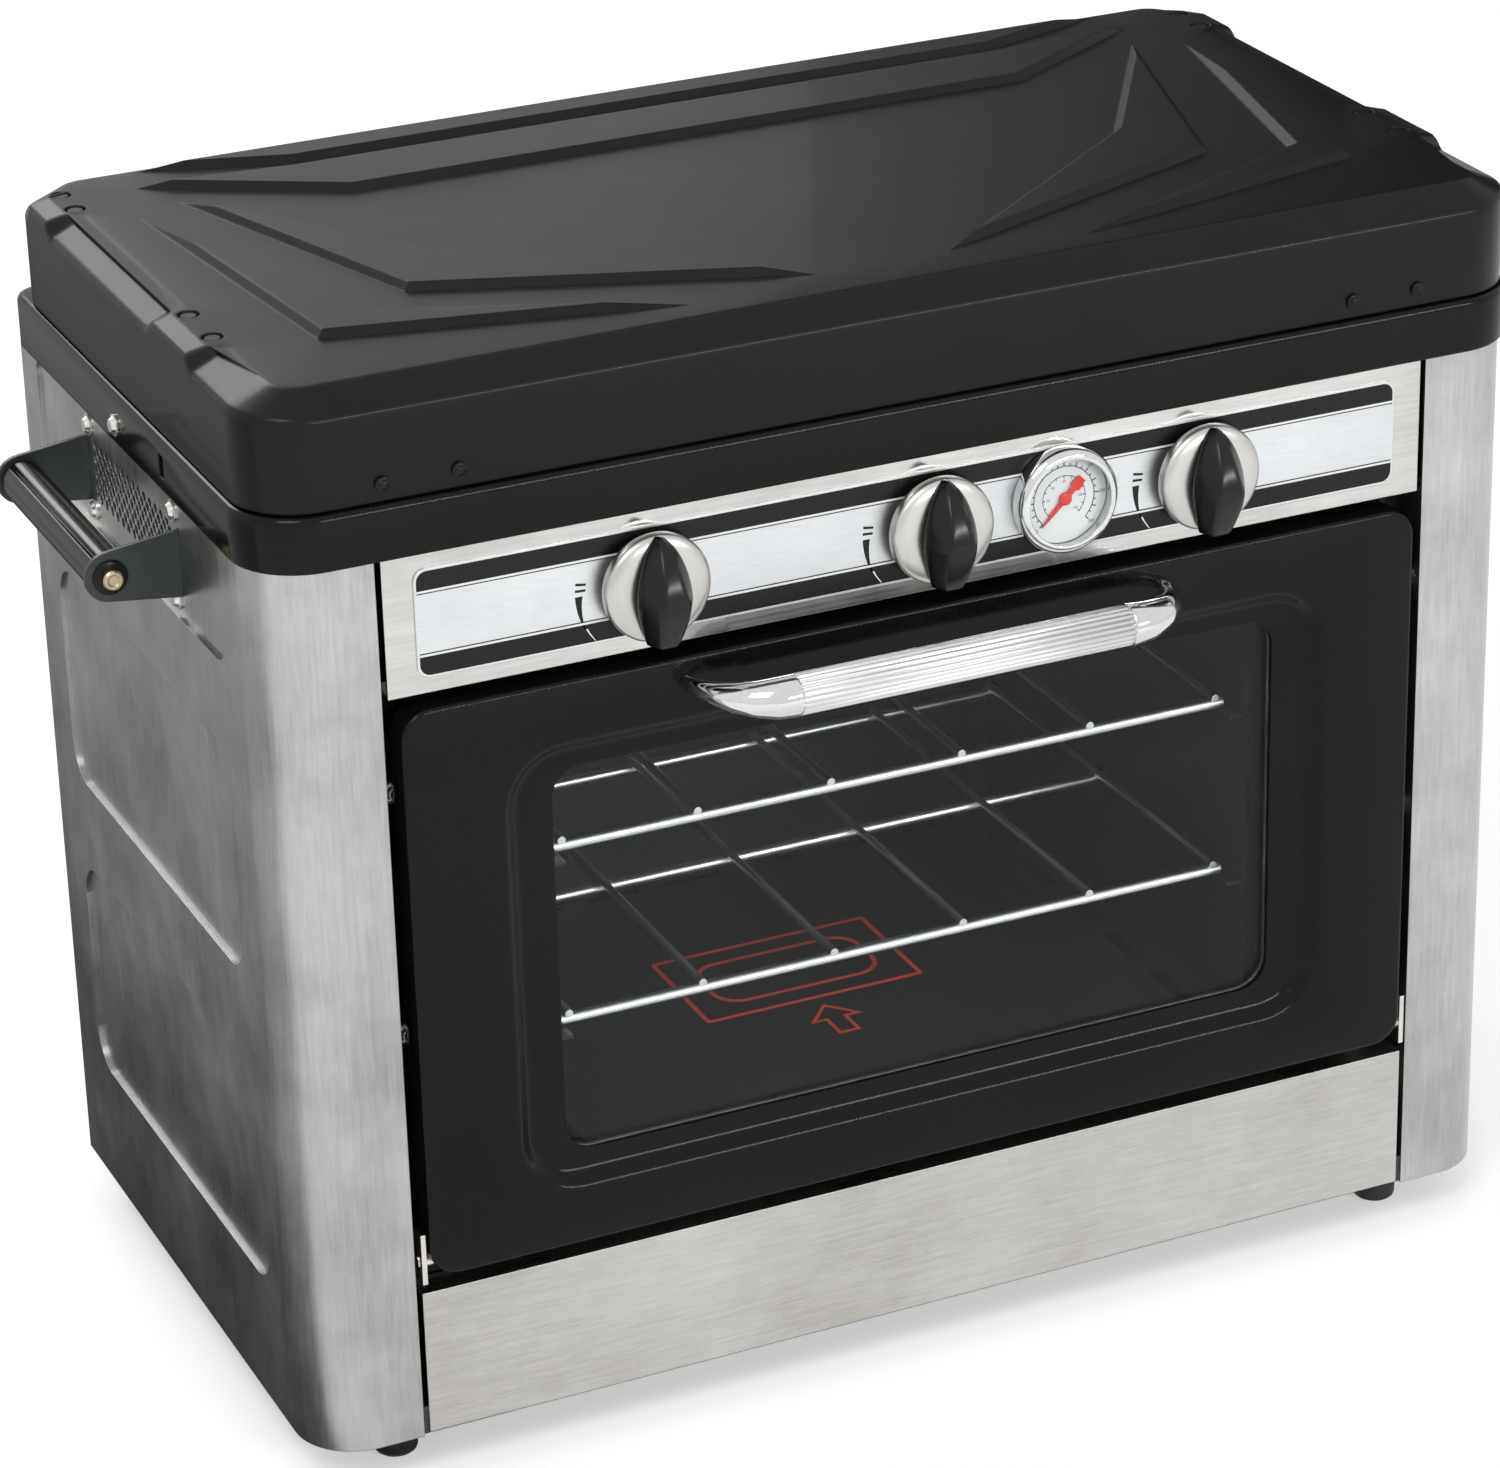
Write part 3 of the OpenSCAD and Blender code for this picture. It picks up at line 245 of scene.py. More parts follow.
GREY_STEEL = Finish("polished_sheet", (0.56, 0.555, 0.545), (0.30, 0.30, 0.298), 1.0, (0.22, 0.42),
                    stretch=(700, 700, 50), cloud=15, cloud_share=0.72, bump=0.035)
FINISHES: dict[str, Finish] = {
    f.slot: f
    for f in (
        GREY_STEEL,
        Finish("zinc_sheet", (0.50, 0.51, 0.52), (0.37, 0.38, 0.39), 1.0, (0.34, 0.46), Grain.SPANGLE,
               (170, 170, 170), bump=0.03),
        Finish("brushed_sheet", (0.62, 0.61, 0.59), (0.40, 0.385, 0.36), 1.0, (0.2, 0.38),
               stretch=(50, 700, 900), cloud=12, cloud_share=0.65, bump=0.12),
        Finish("label", (0.70, 0.72, 0.73), (0.56, 0.58, 0.59), 1.0, (0.3, 0.42),
               stretch=(120, 900, 1200), cloud=20, bump=0.06),
        Finish("black_enamel", (0.0075, 0.0062, 0.0056), (0.003, 0.0025, 0.0022), 0.0, (0.08, 0.18),
               stretch=(1500, 1500, 1500), bump=0.03, specular=0.16, edge=0.0008),
        Finish("rubber", (0.03, 0.03, 0.03), (0.012, 0.012, 0.012), 0.0, (0.6, 0.8), bump=0.3),
        Finish("oven_enamel", (0.026, 0.027, 0.028), (0.012, 0.0125, 0.013), 0.0, (0.25, 0.42),
               stretch=(1200, 1200, 1200), bump=0.1, specular=0.3),
        Finish("burner_steel", (0.50, 0.50, 0.49), (0.30, 0.30, 0.31), 1.0, (0.35, 0.55), bump=0.03),
        Finish("brass", (0.78, 0.62, 0.30), (0.58, 0.42, 0.18), 1.0, (0.25, 0.4), bump=0.06),
        Finish("ceramic", (0.86, 0.85, 0.81), (0.76, 0.74, 0.70), 0.0, (0.2, 0.35)),
        Finish("cast_iron", (0.045, 0.045, 0.047), (0.02, 0.02, 0.021), 0.0, (0.45, 0.65), bump=0.5,
               stretch=(700, 700, 700)),
        Finish("arm_paint", (0.036, 0.046, 0.045), (0.017, 0.022, 0.022), 0.0, (0.32, 0.5),
               stretch=(1500, 1500, 1500), bump=0.2, edge=0.0007),
        Finish("grip_plastic", (0.016, 0.011, 0.008), (0.006, 0.004, 0.003), 0.0, (0.14, 0.26),
               stretch=(500, 40, 500), bump=0.03, specular=0.25),
        Finish("bolt_zinc", (0.56, 0.49, 0.34), (0.38, 0.31, 0.19), 1.0, (0.22, 0.38), bump=0.05),
        Finish("screw_steel", (0.82, 0.80, 0.76), (0.58, 0.56, 0.53), 1.0, (0.16, 0.3), bump=0.05),
        Finish("lid_paint", (0.0085, 0.0083, 0.0088), (0.0055, 0.0053, 0.0056), 0.0, (0.3, 0.42),
               stretch=(1600, 1600, 1600), bump=0.3, depth=0.0001, specular=0.13, edge=0.0014, coat=0.1),
        Finish("black_screw", (0.01, 0.01, 0.01), (0.004, 0.004, 0.004), 0.0, (0.2, 0.32), bump=0.05, specular=0.2),
        Pane("glass", (0.84, 0.86, 0.86), (0.78, 0.80, 0.80), rough=(0.0, 0.01), specular=0.12),
        Finish("chrome", (0.74, 0.745, 0.75), (0.58, 0.585, 0.59), 1.0, (0.04, 0.1), bump=0.02),
        Finish("grip_aluminium", (0.72, 0.72, 0.72), (0.60, 0.60, 0.61), 1.0, (0.24, 0.34),
               stretch=(60, 1200, 1200), bump=0.08, edge=0.0002),
        Finish("dial_face", (0.82, 0.82, 0.82), (0.74, 0.74, 0.75), 0.0, (0.4, 0.5), bump=0.02),
        Finish("needle_paint", (0.75, 0.030, 0.022), (0.60, 0.020, 0.016), 0.0, (0.3, 0.4), bump=0.02,
               edge=0.0002),
        Finish("knob_metal", (0.60, 0.59, 0.565), (0.50, 0.49, 0.47), 1.0, (0.27, 0.33),
               stretch=(1500, 1500, 120), cloud=12, cloud_share=0.7, bump=0.015, edge=0.0001),
        Finish("knob_plastic", (0.007, 0.0066, 0.0065), (0.003, 0.003, 0.003), 0.0, (0.16, 0.28), bump=0.05,
               specular=0.3, edge=0.0006),
    )
}
NODE_LOOKS: dict[str, Finish] = {
    "base_pan": replace(FINISHES["zinc_sheet"], light=(0.05, 0.05, 0.05), dark=(0.02, 0.02, 0.02), metallic=0.0),
    "control_fascia": replace(FINISHES["brushed_sheet"], light=(0.68, 0.67, 0.65), dark=(0.46, 0.45, 0.43),
                              rough=(0.08, 0.17)),
    **dict.fromkeys(
        ("oven_rack_upper", "oven_rack_lower"),
        replace(FINISHES["chrome"], light=(0.86, 0.86, 0.86), dark=(0.74, 0.74, 0.75), rough=(0.28, 0.38)),
    ),
}
PRINT_BLACK = Finish("label", (0.008, 0.008, 0.009), (0.004, 0.004, 0.004), 0.0, (0.22, 0.34), bump=0.03,
                     specular=0.25, edge=0.00002)
PRINT_WHITE = Finish("label", (0.86, 0.86, 0.85), (0.78, 0.78, 0.77), 0.0, (0.3, 0.4), bump=0.03, edge=0.00002)
DIAL_INK = Finish("dial_face", (0.05, 0.05, 0.055), (0.03, 0.03, 0.035), 0.0, (0.4, 0.5), bump=0.02,
                  edge=0.00002)
MARK_RED = Finish("needle_paint", (0.88, 0.090, 0.055), (0.66, 0.060, 0.040), 0.0, (0.3, 0.45), bump=0.03,
                  edge=0.00005)


class Bench:
    """The few moves that every new piece is made with."""

    looks: dict[Finish, bpy.types.Material] = {}

    @classmethod
    def look(cls, finish: Finish) -> bpy.types.Material:
        """Returns the material of a finish, made once."""
        if finish not in cls.looks:
            cls.looks[finish] = finish.build()
        return cls.looks[finish]

    @staticmethod
    def deselect() -> None:
        """Leaves edit mode and selects nothing."""
        if bpy.context.object and bpy.context.object.mode != "OBJECT":
            bpy.ops.object.mode_set(mode="OBJECT")
        bpy.ops.object.select_all(action="DESELECT")

    @classmethod
    def pick(cls, piece: Piece) -> None:
        """Selects one piece and makes it active."""
        cls.deselect()
        piece.select_set(True)
        bpy.context.view_layer.objects.active = piece

    @classmethod
    def modify(cls, piece: Piece, kind: str, **settings: object) -> None:
        """Adds a modifier and applies it.

        Args:
            piece: The mesh piece.
            kind: Blender's modifier type.
            **settings: Values set on the modifier.
        """
        cls.pick(piece)
        step = piece.modifiers.new(kind.lower(), kind)
        for name, value in settings.items():
            setattr(step, name, value)
        bpy.ops.object.modifier_apply(modifier=step.name)

    @classmethod
    def from_points(cls, name: str, points: Sequence[Point], faces: Sequence[Sequence[int]]) -> Piece:
        """Makes a mesh piece from points in millimetres.

        Args:
            name: The piece's name.
            points: Its points in the oven's frame.
            faces: Its faces as point numbers.

        Returns:
            The linked piece, its normals pointing outwards.
        """
        mesh = bpy.data.meshes.new(name)
        mesh.from_pydata([Vector(p) * MM for p in points], [], [list(f) for f in faces])
        piece = bpy.data.objects.new(name, mesh)
        bpy.context.scene.collection.objects.link(piece)
        cls.pick(piece)
        bpy.ops.object.mode_set(mode="EDIT")
        bpy.ops.mesh.select_all(action="SELECT")
        bpy.ops.mesh.remove_doubles(threshold=1e-7)
        bpy.ops.mesh.normals_make_consistent(inside=False)
        bpy.ops.object.mode_set(mode="OBJECT")
        return piece

    @classmethod
    def settle(cls, piece: Piece, finish: Finish, body: str, angle: float = 30.0) -> Piece:
        """Puts a finished piece's place into its mesh, dresses it and lets it ride.

        Args:
            piece: The mesh piece.
            finish: Its finish.
            body: The CAD body that it moves with.
            angle: Edges flatter than this many degrees are shaded smooth.

        Returns:
            The same piece.
        """
        cls.pick(piece)
        bpy.ops.object.transform_apply(location=True, rotation=True, scale=True)
        bpy.ops.object.shade_smooth_by_angle(angle=math.radians(angle))
        piece.data.materials.clear()
        piece.data.materials.append(cls.look(finish))
        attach(piece, body)
        LOG.info("%s: %d faces on %s", piece.name, len(piece.data.polygons), body)
        return piece

    @classmethod
    def join(cls, pieces: Sequence[Piece], name: str) -> Piece:
        """Joins pieces into the first of them and names it."""
        cls.deselect()
        for piece in pieces:
            piece.select_set(True)
        bpy.context.view_layer.objects.active = pieces[0]
        bpy.ops.object.join()
        pieces[0].name = name
        return pieces[0]

    @classmethod
    def rod(cls, centre: Point, radius: float, length: float, vertices: int) -> Piece:
        """Adds a plain cylinder along Y, measured in millimetres."""
        cls.deselect()
        bpy.ops.mesh.primitive_cylinder_add(vertices=vertices, radius=radius * MM, depth=length * MM,
                                            rotation=(math.pi / 2, 0, 0), location=Vector(centre) * MM)
        return bpy.context.object

    @classmethod
    def cut(cls, piece: Piece, cutter: Piece) -> None:
        """Cuts one piece with another, which is then removed."""
        cls.modify(piece, "BOOLEAN", object=cutter, operation="DIFFERENCE", solver="EXACT")
        bpy.data.objects.remove(cutter)

    @classmethod
    def lathe(cls, name: str, centre: Flat, profile: Sequence[Flat], segments: int = 96) -> Piece:
        """Turns a closed profile about an axis along Y.

        Args:
            name: The piece's name.
            centre: Place of the axis in X and Z.
            profile: Radius and depth of each corner, all round the section or from pole to pole.
            segments: Faces round the axis.

        Returns:
            The turned piece.
        """
        closing = [] if profile[0][0] == 0 else profile[:1]
        return cls.loft(name, [upright(circle(r, segments), y, *centre) for r, y in [*profile, *closing]])

    @classmethod
    def loft(cls, name: str, rings: Sequence[Sequence[Point]], ends: bool = False) -> Piece:
        """Joins rings of equal length by faces.

        Args:
            name: The piece's name.
            rings: Closed rings of points in millimetres.
            ends: Whether the first and the last ring are filled.

        Returns:
            The lofted piece.
        """
        n = len(rings[0])
        starts = range(0, n * len(rings), n)
        faces = [face for first in starts[:-1] for face in strip(first, n)]
        if ends:
            faces += [list(range(first, first + n)) for first in (starts[0], starts[-1])]
        return cls.from_points(name, [p for ring in rings for p in ring], faces)


def strip(first: int, n: int) -> list[list[int]]:
    """Faces between two closed rows of n points that follow each other from a first number."""
    return [[first + i, first + (i + 1) % n, first + n + (i + 1) % n, first + n + i] for i in range(n)]


def circle(radii: float | Sequence[float], steps: int) -> list[Flat]:
    """Points round the origin, at one radius or at a radius for each step."""
    sizes = radii if isinstance(radii, Sequence) else [radii] * steps
    turns = [2 * math.pi * i / steps for i in range(steps)]
    return [(r * math.cos(a), r * math.sin(a)) for r, a in zip(sizes, turns)]


def rounded_flat(width: float, height: float, radius: float, steps: int = 8, upper: float = 0.0) -> list[Flat]:
    """Outline of a rectangle with round corners, about the origin.

    Args:
        width: Size along the first axis.
        height: Size along the second axis.
        radius: Radius of the corners.
        steps: Steps in each corner.
        upper: Radius of the two upper corners, where it is another.

    Returns:
        The outline's points, anticlockwise.
    """
    out: list[Flat] = []
    for k, (sx, sy) in enumerate(((1, 1), (-1, 1), (-1, -1), (1, -1))):
        r = upper if upper and sy > 0 else radius
        for i in range(steps + 1):
            a = math.radians(90 * (k + i / steps))
            out.append((sx * (width / 2 - r) + r * math.cos(a), sy * (height / 2 - r) + r * math.sin(a)))
    return out


def upright(outline: Sequence[Flat], y: float, x: float = 0.0, z: float = 0.0) -> list[Point]:
    """Stands a flat outline up in X and Z at depth y."""
    return [(x + u, y, z + v) for u, v in outline]


@dataclass
class Studio:
    """The camera, the lamps, the pale floor and the cards that paint shade into reflections."""

    place: Point = (-0.81299, -1.79496, 1.12844)
    azimuth: float = -23.9
    elevation: float = 24.65
    roll: float = -1.53
    lens: float = 126.07
    fill: float = 0.5
    floor_glow: float = 0.42
    lamps: dict[str, tuple[Point, Flat, float]] = field(
        default_factory=lambda: {
            "key_lamp": ((-1.5, -1.6, 2.6), (1.3, 1.3), 30.0),
            "front_lamp": ((0.95, -2.45, 0.98), (1.6, 0.09), 22.0),
            "rear_lamp": ((-0.5, 2.4, 1.9), (1.4, 0.8), 20.0),
        }
    )

    # Painted shade in reflections: cards that only reflections show, each with its outline, the span along X and the
    # shade at the two ends of that span.
    card_places: dict[str, tuple[tuple[Point, ...], Flat, Flat]] = field(
        default_factory=lambda: {
            "left_floor_shade_card": (((-1800, -140, 2), (-180, -140, 2), (-180, 2400, 2), (-1800, 2400, 2)),
                          (-0.31, -0.56), (0.03, 0.55)),
            "rear_shade_card": (((1400, 3000, 200), (6000, 3000, 200), (6000, 3000, 5500), (1400, 3000, 5500)),
                          (1.4, 2.2), (0.5, 0.0)),
        }
    )

    def camera(self) -> None:
        """Stands the camera where the photograph was taken from."""
        az, el, roll = (math.radians(v) for v in (self.azimuth, self.elevation, self.roll))
        back = Vector((math.sin(az) * math.cos(el), -math.cos(az) * math.cos(el), math.sin(el)))
        right = Vector((0, 0, 1)).cross(back).normalized()
        up = back.cross(right)
        right_rolled = math.cos(roll) * right + math.sin(roll) * up
        up_rolled = -math.sin(roll) * right + math.cos(roll) * up
        data = bpy.data.cameras.new("photo_camera")
        data.lens, data.sensor_width = self.lens, 36.0
        data.clip_start, data.clip_end = 0.05, 60.0
        camera = bpy.data.objects.new("photo_camera", data)
        bpy.context.scene.collection.objects.link(camera)
        turn = Matrix((right_rolled, up_rolled, back)).transposed().to_4x4()
        camera.matrix_world = Matrix.Translation(Vector(self.place)) @ turn
        bpy.context.scene.camera = camera

    def lights(self) -> None:
        """Hangs the soft lamps."""
        for name, (place, size, power) in self.lamps.items():
            data = bpy.data.lights.new(name, "AREA")
            data.shape, data.size, data.size_y, data.energy = "RECTANGLE", *size, power
            lamp = bpy.data.objects.new(name, data)
            bpy.context.scene.collection.objects.link(lamp)
            lamp.location = place
            aim = Vector((0, 0, 0.25)) - Vector(place)
            lamp.rotation_euler = aim.to_track_quat("-Z", "Y").to_euler()

    @staticmethod
    def _seen(tree: Tree) -> bpy.types.NodeSocket:
        """Adds a socket that is 1 for camera, glossy and transmission rays."""
        path = tree.add("LightPath").outputs
        total = path["Is Camera Ray"]
        for name in ("Is Glossy Ray", "Is Transmission Ray"):
            more = tree.add("Math", {0: total, 1: path[name]})
            more.operation = "MAXIMUM"
            total = more.outputs[0]
        return total

    def world(self) -> None:
        """Makes the white surroundings with a plain level of light."""
        world = bpy.data.worlds.new("white_room")
        world.use_nodes = True
        world.node_tree.nodes.clear()
        bpy.context.scene.world = world
        tree = Tree(world.node_tree)
        light, shown = [tree.add("Background", {"Color": (1, 1, 1, 1), "Strength": level}).outputs[0]
                        for level in (self.fill, 1.0)]
        mix = tree.add("MixShader", {"Fac": self._seen(tree), 1: light, 2: shown})
        tree.add("OutputWorld", {"Surface": mix.outputs[0]})

    def floor(self) -> None:
        """Lays the pale floor, which keeps the oven's shadow."""
        Bench.deselect()
        bpy.ops.mesh.primitive_plane_add(size=24, location=(0, 0, 0))
        floor = bpy.context.object
        floor.name = "studio_floor"
        bpy.ops.object.transform_apply(location=True, rotation=True, scale=True)
        made = bpy.data.materials.new("pale_floor")
        made.use_nodes = True
        made.node_tree.nodes.clear()
        tree = Tree(made.node_tree)
        matt = tree.add("BsdfDiffuse", {"Color": (0.8, 0.8, 0.8, 1)}).outputs[0]
        glow = tree.add("Emission", {"Strength": self.floor_glow}).outputs[0]
        both = tree.add("AddShader", {0: matt, 1: glow}).outputs[0]
        mix = tree.add("MixShader", {"Fac": self._seen(tree), 1: matt, 2: both})
        tree.add("OutputMaterial", {"Surface": mix.outputs[0]})
        floor.data.materials.append(made)

    def cards(self) -> None:
        """Sets up cards that only reflections show, which paint shade into what the metal and the paint reflect: the
        floor card on the left is darkest next to the oven, where its shadow falls, and the rear card darkens towards
        the right.
        """
        for name, (outline, span, shade) in self.card_places.items():
            made, tree, shader = Tree.of_material(name)
            # Painted shade: the card's shade runs along X, so reflections of it carry that shade.
            across = tree.add("SeparateXYZ", {0: tree.add("TexCoord").outputs["Object"]}).outputs["X"]
            ramp = tree.add("MapRange", {"Value": across, "From Min": span[0], "From Max": span[1],
                                         "To Min": shade[0], "To Max": shade[1]})
            tree.fill(shader, {"Roughness": 0.9, "Base Color": ramp.outputs["Result"]})
            card = Bench.from_points(name, outline, [[0, 1, 2, 3]])
            Bench.deselect()
            card.data.materials.append(made)
            card.visible_camera = card.visible_diffuse = card.visible_shadow = card.visible_transmission = False

    def build(self) -> None:
        """Makes the whole studio."""
        bpy.context.scene.view_settings.view_transform = "Standard"
        self.camera()
        self.lights()
        self.world()
        self.floor()
        self.cards()


@dataclass
class LidShell:
    """The pressed lid: raised wedges, a sloped edge and pads for its screws."""

    bottom: float = 414.6
    top: float = 459.4
    sheet: float = 1.2
    wedge_rise: float = 3.0
    wedge_wall: float = 3.0
    corner: float = 26.0
    top_inset: Flat = (15.5, 11.5)
    low_z: Flat = (451.6, 450.0)
    pad_inset: float = 8.0
    pad_low_z: float = 456.2
    pads: tuple[Flat, Flat] = ((62.0, 116.0), (230.0, 268.0))
    ramp: float = 8.0
    screw_ys: tuple[float, ...] = (76.58, 103.58, 240.26, 259.26)
    screw_x: float = 252.5
    seat: tuple[float, float, float] = (4.4, 1.6, 0.35)
    top_corner: float = 11.0
    ring_steps: tuple[int, int, int] = (10, 120, 56)
    top_rows: tuple[Point, ...] = ((1.0, 0.0, 1.6), (0.97, 0.12, 0.4), (0.92, 0.55, -0.8))
    slope_steps: Point = (0.08, 0.5, 0.92)
    wall_rows: tuple[Point, ...] = ((0.2, 1.2, 1.4), (0.08, 0.2, 0.5), (0.02, -1.0, 0.08), (0.0, -3.0, 0.0))
    foot_rows: tuple[Flat, ...] = ((1.0, 0.0), (0.0, 0.3))
    wedges: tuple[tuple[Flat, ...], ...] = (
        ((-216, 271.5), (-157, 252), (157, 252), (216, 271.5)),
        ((-223, 252), (-148, 207), (150, 207), (223, 252), (159, 245), (-159, 245)),
        ((214, 230), (172, 88), (28, 32), (150, 127)),
        ((-214, 230), (-172, 88), (-28, 32), (-150, 127)),
        ((234, 221), (219, 55), (83, 24), (202, 76)),
        ((-234, 221), (-219, 55), (-83, 24), (-202, 76)),
    )

    def pad(self, y: float) -> float:
        """Returns 1 on a screw pad, 0 away from it and a soft step between."""
        best = 0.0
        for y0, y1 in self.pads:
            t = min((y - y0) / self.ramp, (y1 - y) / self.ramp, 1.0)
            if t > 0:
                best = max(best, t * t * (3 - 2 * t))
        return best

    def ring(self, share: float, lift: ByPlace, inset: ByPlace) -> list[Point]:
        """One ring round the lid.

        Args:
            share: How far the ring's corners have closed in, 0 at the wall and 1 at the top.
            lift: Height of the ring, from the share of the side and the pad.
            inset: Distance in from the wall, from the same two.

        Returns:
            The ring's points, from the front right corner on.
        """
        out: list[Point] = []
        r = self.corner - (self.corner - self.top_corner) * share
        mid = (FRONT_Y + REAR_Y) / 2
        hx = HALF_W - inset(1.0, 0.0) - r
        hy = (REAR_Y - FRONT_Y) / 2 - inset(0.0, 0.0) - r
        arc_steps, side_steps, front_steps = self.ring_steps
        for k, (sx, sy) in enumerate(((1, -1), (1, 1), (-1, 1), (-1, -1))):
            on_side = k % 2 == 0
            for i in range(arc_steps + 1):
                a = math.radians(-90 + 90 * k + 90 * i / arc_steps)
                turn = i / arc_steps if on_side else 1 - i / arc_steps
                out.append((sx * hx + r * math.cos(a), mid + sy * hy + r * math.sin(a), lift(turn, 0.0)))
            steps = side_steps if on_side else front_steps
            for t in (i / steps for i in range(1, steps)):
                if on_side:
                    y = mid + sy * hy * (1 - 2 * t)
                    p = self.pad(y - FRONT_Y)
                    out.append((sx * (HALF_W - inset(1.0, p)), y, lift(1.0, p)))
                else:
                    out.append((sx * hx * (1 - 2 * t), mid + sy * (hy + r), lift(0.0, 0.0)))
        return out

    def _low(self, side: float, pad: float) -> float:
        """Height of the sloped edge's foot."""
        base = self.low_z[1] + (self.low_z[0] - self.low_z[1]) * side
        return base + (self.pad_low_z - base) * pad

    def _edge(self, side: float, pad: float) -> float:
        """Inset of the flat top's edge."""
        base = self.top_inset[1] + (self.top_inset[0] - self.top_inset[1]) * side
        return base + (self.pad_inset - base) * pad

    def rings(self) -> list[list[Point]]:
        """The rings from the flat top out and down to the rim."""
        low, edge, top = self._low, self._edge, self.top
        top_share, drop, past = self.top_rows[-1]
        low_share, rise, wall = self.wall_rows[0]
        rings = [self.ring(share, lambda s, p: top - d, lambda s, p: edge(s, p) + e) for share, d, e in self.top_rows]
        for t in self.slope_steps:
            rings.append(self.ring(
                top_share - 0.02 - (top_share - 0.02 - low_share) * t,
                lambda s, p: (top - drop) * (1 - t) + (low(s, p) + rise) * t,
                lambda s, p: (edge(s, p) + past) * (1 - t) + wall * t,
            ))
        rings += [self.ring(share, lambda s, p: low(s, p) + d, lambda s, p: e) for share, d, e in self.wall_rows]
        rings += [self.ring(0.0, lambda s, p: self.bottom + d, lambda s, p: e) for d, e in self.foot_rows]
        return rings

    @staticmethod
    def drawn_in(outline: Sequence[Flat], wall: float) -> list[Flat]:
        """An outline drawn in by a wall's width, mitred at its corners."""
        n = len(outline)
        area = sum(a[0] * b[1] - b[0] * a[1] for a, b in zip(outline, [*outline[1:], outline[0]]))
        turn = 1.0 if area > 0 else -1.0
        out: list[Flat] = []
        for i in range(n):
            p, here, q = Vector(outline[i - 1]), Vector(outline[i]), Vector(outline[(i + 1) % n])
            a, b = (here - p).normalized(), (q - here).normalized()
            na, nb = Vector((-a.y, a.x)) * turn, Vector((-b.y, b.x)) * turn
            miter = (na + nb).normalized()
            out.append(tuple(here + miter * (wall / max(miter.dot(na), 0.05))))
        return out

    def build(self) -> Piece:
        """Makes the lid's shell.

        Returns:
            The lid, riding on its body in place of the CAD shell.
        """
        rings = self.rings()
        n = len(rings[0])
        flat: list[Flat] = [(p[0], p[1]) for p in rings[0]]
        heights: list[float] = [self.top] * n
        edges: list[tuple[int, int]] = [(i, (i + 1) % n) for i in range(n)]

        def closed(points: Sequence[Flat], z: float) -> None:
            first, count = len(flat), len(points)
            flat.extend((p[0], p[1]) for p in points)
            heights.extend([z] * count)
            edges.extend((first + i, first + (i + 1) % count) for i in range(count))

        for wedge in self.wedges:
            outline = [(x, FRONT_Y + y) for x, y in wedge]
            closed(outline, self.top)
            closed(self.drawn_in(outline, self.wedge_wall), self.top + self.wedge_rise)
        radius, depth, wall = self.seat
        for x in (-self.screw_x, self.screw_x):
            for y in self.screw_ys:
                for r, z in ((radius, self.top), (radius - wall, self.top - depth)):
                    closed([(x + u, FRONT_Y + y + v) for u, v in circle(r, 24)], z)
        verts, _, faces, origin, *_ = delaunay_2d_cdt(
            [Vector(p) for p in flat], edges, [list(range(n))], 1, 1e-5, True)
        points: list[Point] = []
        last = [0] * n
        for k, (v, sources) in enumerate(zip(verts, origin)):
            points.append((v.x, v.y, heights[sources[0]] if sources else self.top))
            for o in sources:
                if o < n:
                    last[o] = k
        all_faces: list[list[int]] = [list(f) for f in faces]
        for ring in rings[1:]:
            here = list(range(len(points), len(points) + n))
            points.extend(ring)
            all_faces.extend([last[i], here[i], here[(i + 1) % n], last[(i + 1) % n]] for i in range(n))
            last = here
        lid = Bench.from_points("pressed_lid", points, all_faces)
        Bench.modify(lid, "SOLIDIFY", thickness=self.sheet * MM, offset=-1.0)
        Bench.settle(lid, FINISHES["lid_paint"], Body.LID.value, 34)
        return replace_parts(lid, "lid_shell")


@dataclass
class TopBand:
    """The black band under the lid, with its rolled top edge."""

    half: Flat = (268.5, 145.0)
    mid_y: float = 15.25
    front_corner: float = 28.0
    rear_corner: float = 11.0
    sheet: float = 1.0
    slot: tuple[float, float, float, float] = (98.0, 103.0, CABINET_Z + 379.0, CABINET_Z + 388.0)
    slot_reach: float = 6.0
    profile: tuple[Flat, ...] = (
        (0.4, 392.0), (0.05, 392.5), (0.0, 393.2), (0.0, 411.2), (0.2, 412.4), (0.9, 413.4), (1.9, 413.9),
        (3.0, 414.0), (16.0, 414.0),
    )

    def outline(self, inset: float) -> list[Flat]:
        """Outline of the band drawn in by a distance, rounder at the front."""
        width, depth = (2 * (half - inset) for half in self.half)
        front, rear = (max(r - inset, 0.5) for r in (self.front_corner, self.rear_corner))
        return [(x, self.mid_y + y) for x, y in rounded_flat(width, depth, front, 12, rear)]

    def build(self) -> Piece:
        """Makes the band with a slot in each side."""
        band = Bench.loft("rolled_band", [[(x, y, z) for x, y in self.outline(inset)] for inset, z in self.profile])
        Bench.modify(band, "SOLIDIFY", thickness=self.sheet * MM, offset=-1.0)
        y0, y1, z0, z1 = self.slot
        for x in (-self.half[0], self.half[0]):
            Bench.deselect()
            centre = Vector((x, FRONT_Y + (y0 + y1) / 2, (z0 + z1) / 2))
            bpy.ops.mesh.primitive_cube_add(size=1, location=centre * MM)
            cutter = bpy.context.object
            cutter.scale = (self.slot_reach * MM, (y1 - y0) * MM, (z1 - z0) * MM)
            bpy.ops.object.transform_apply(location=True, rotation=True, scale=True)
            Bench.cut(band, cutter)
        Bench.settle(band, FINISHES["black_enamel"], Body.CABINET.value, 35)
        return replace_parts(band, "top_band")


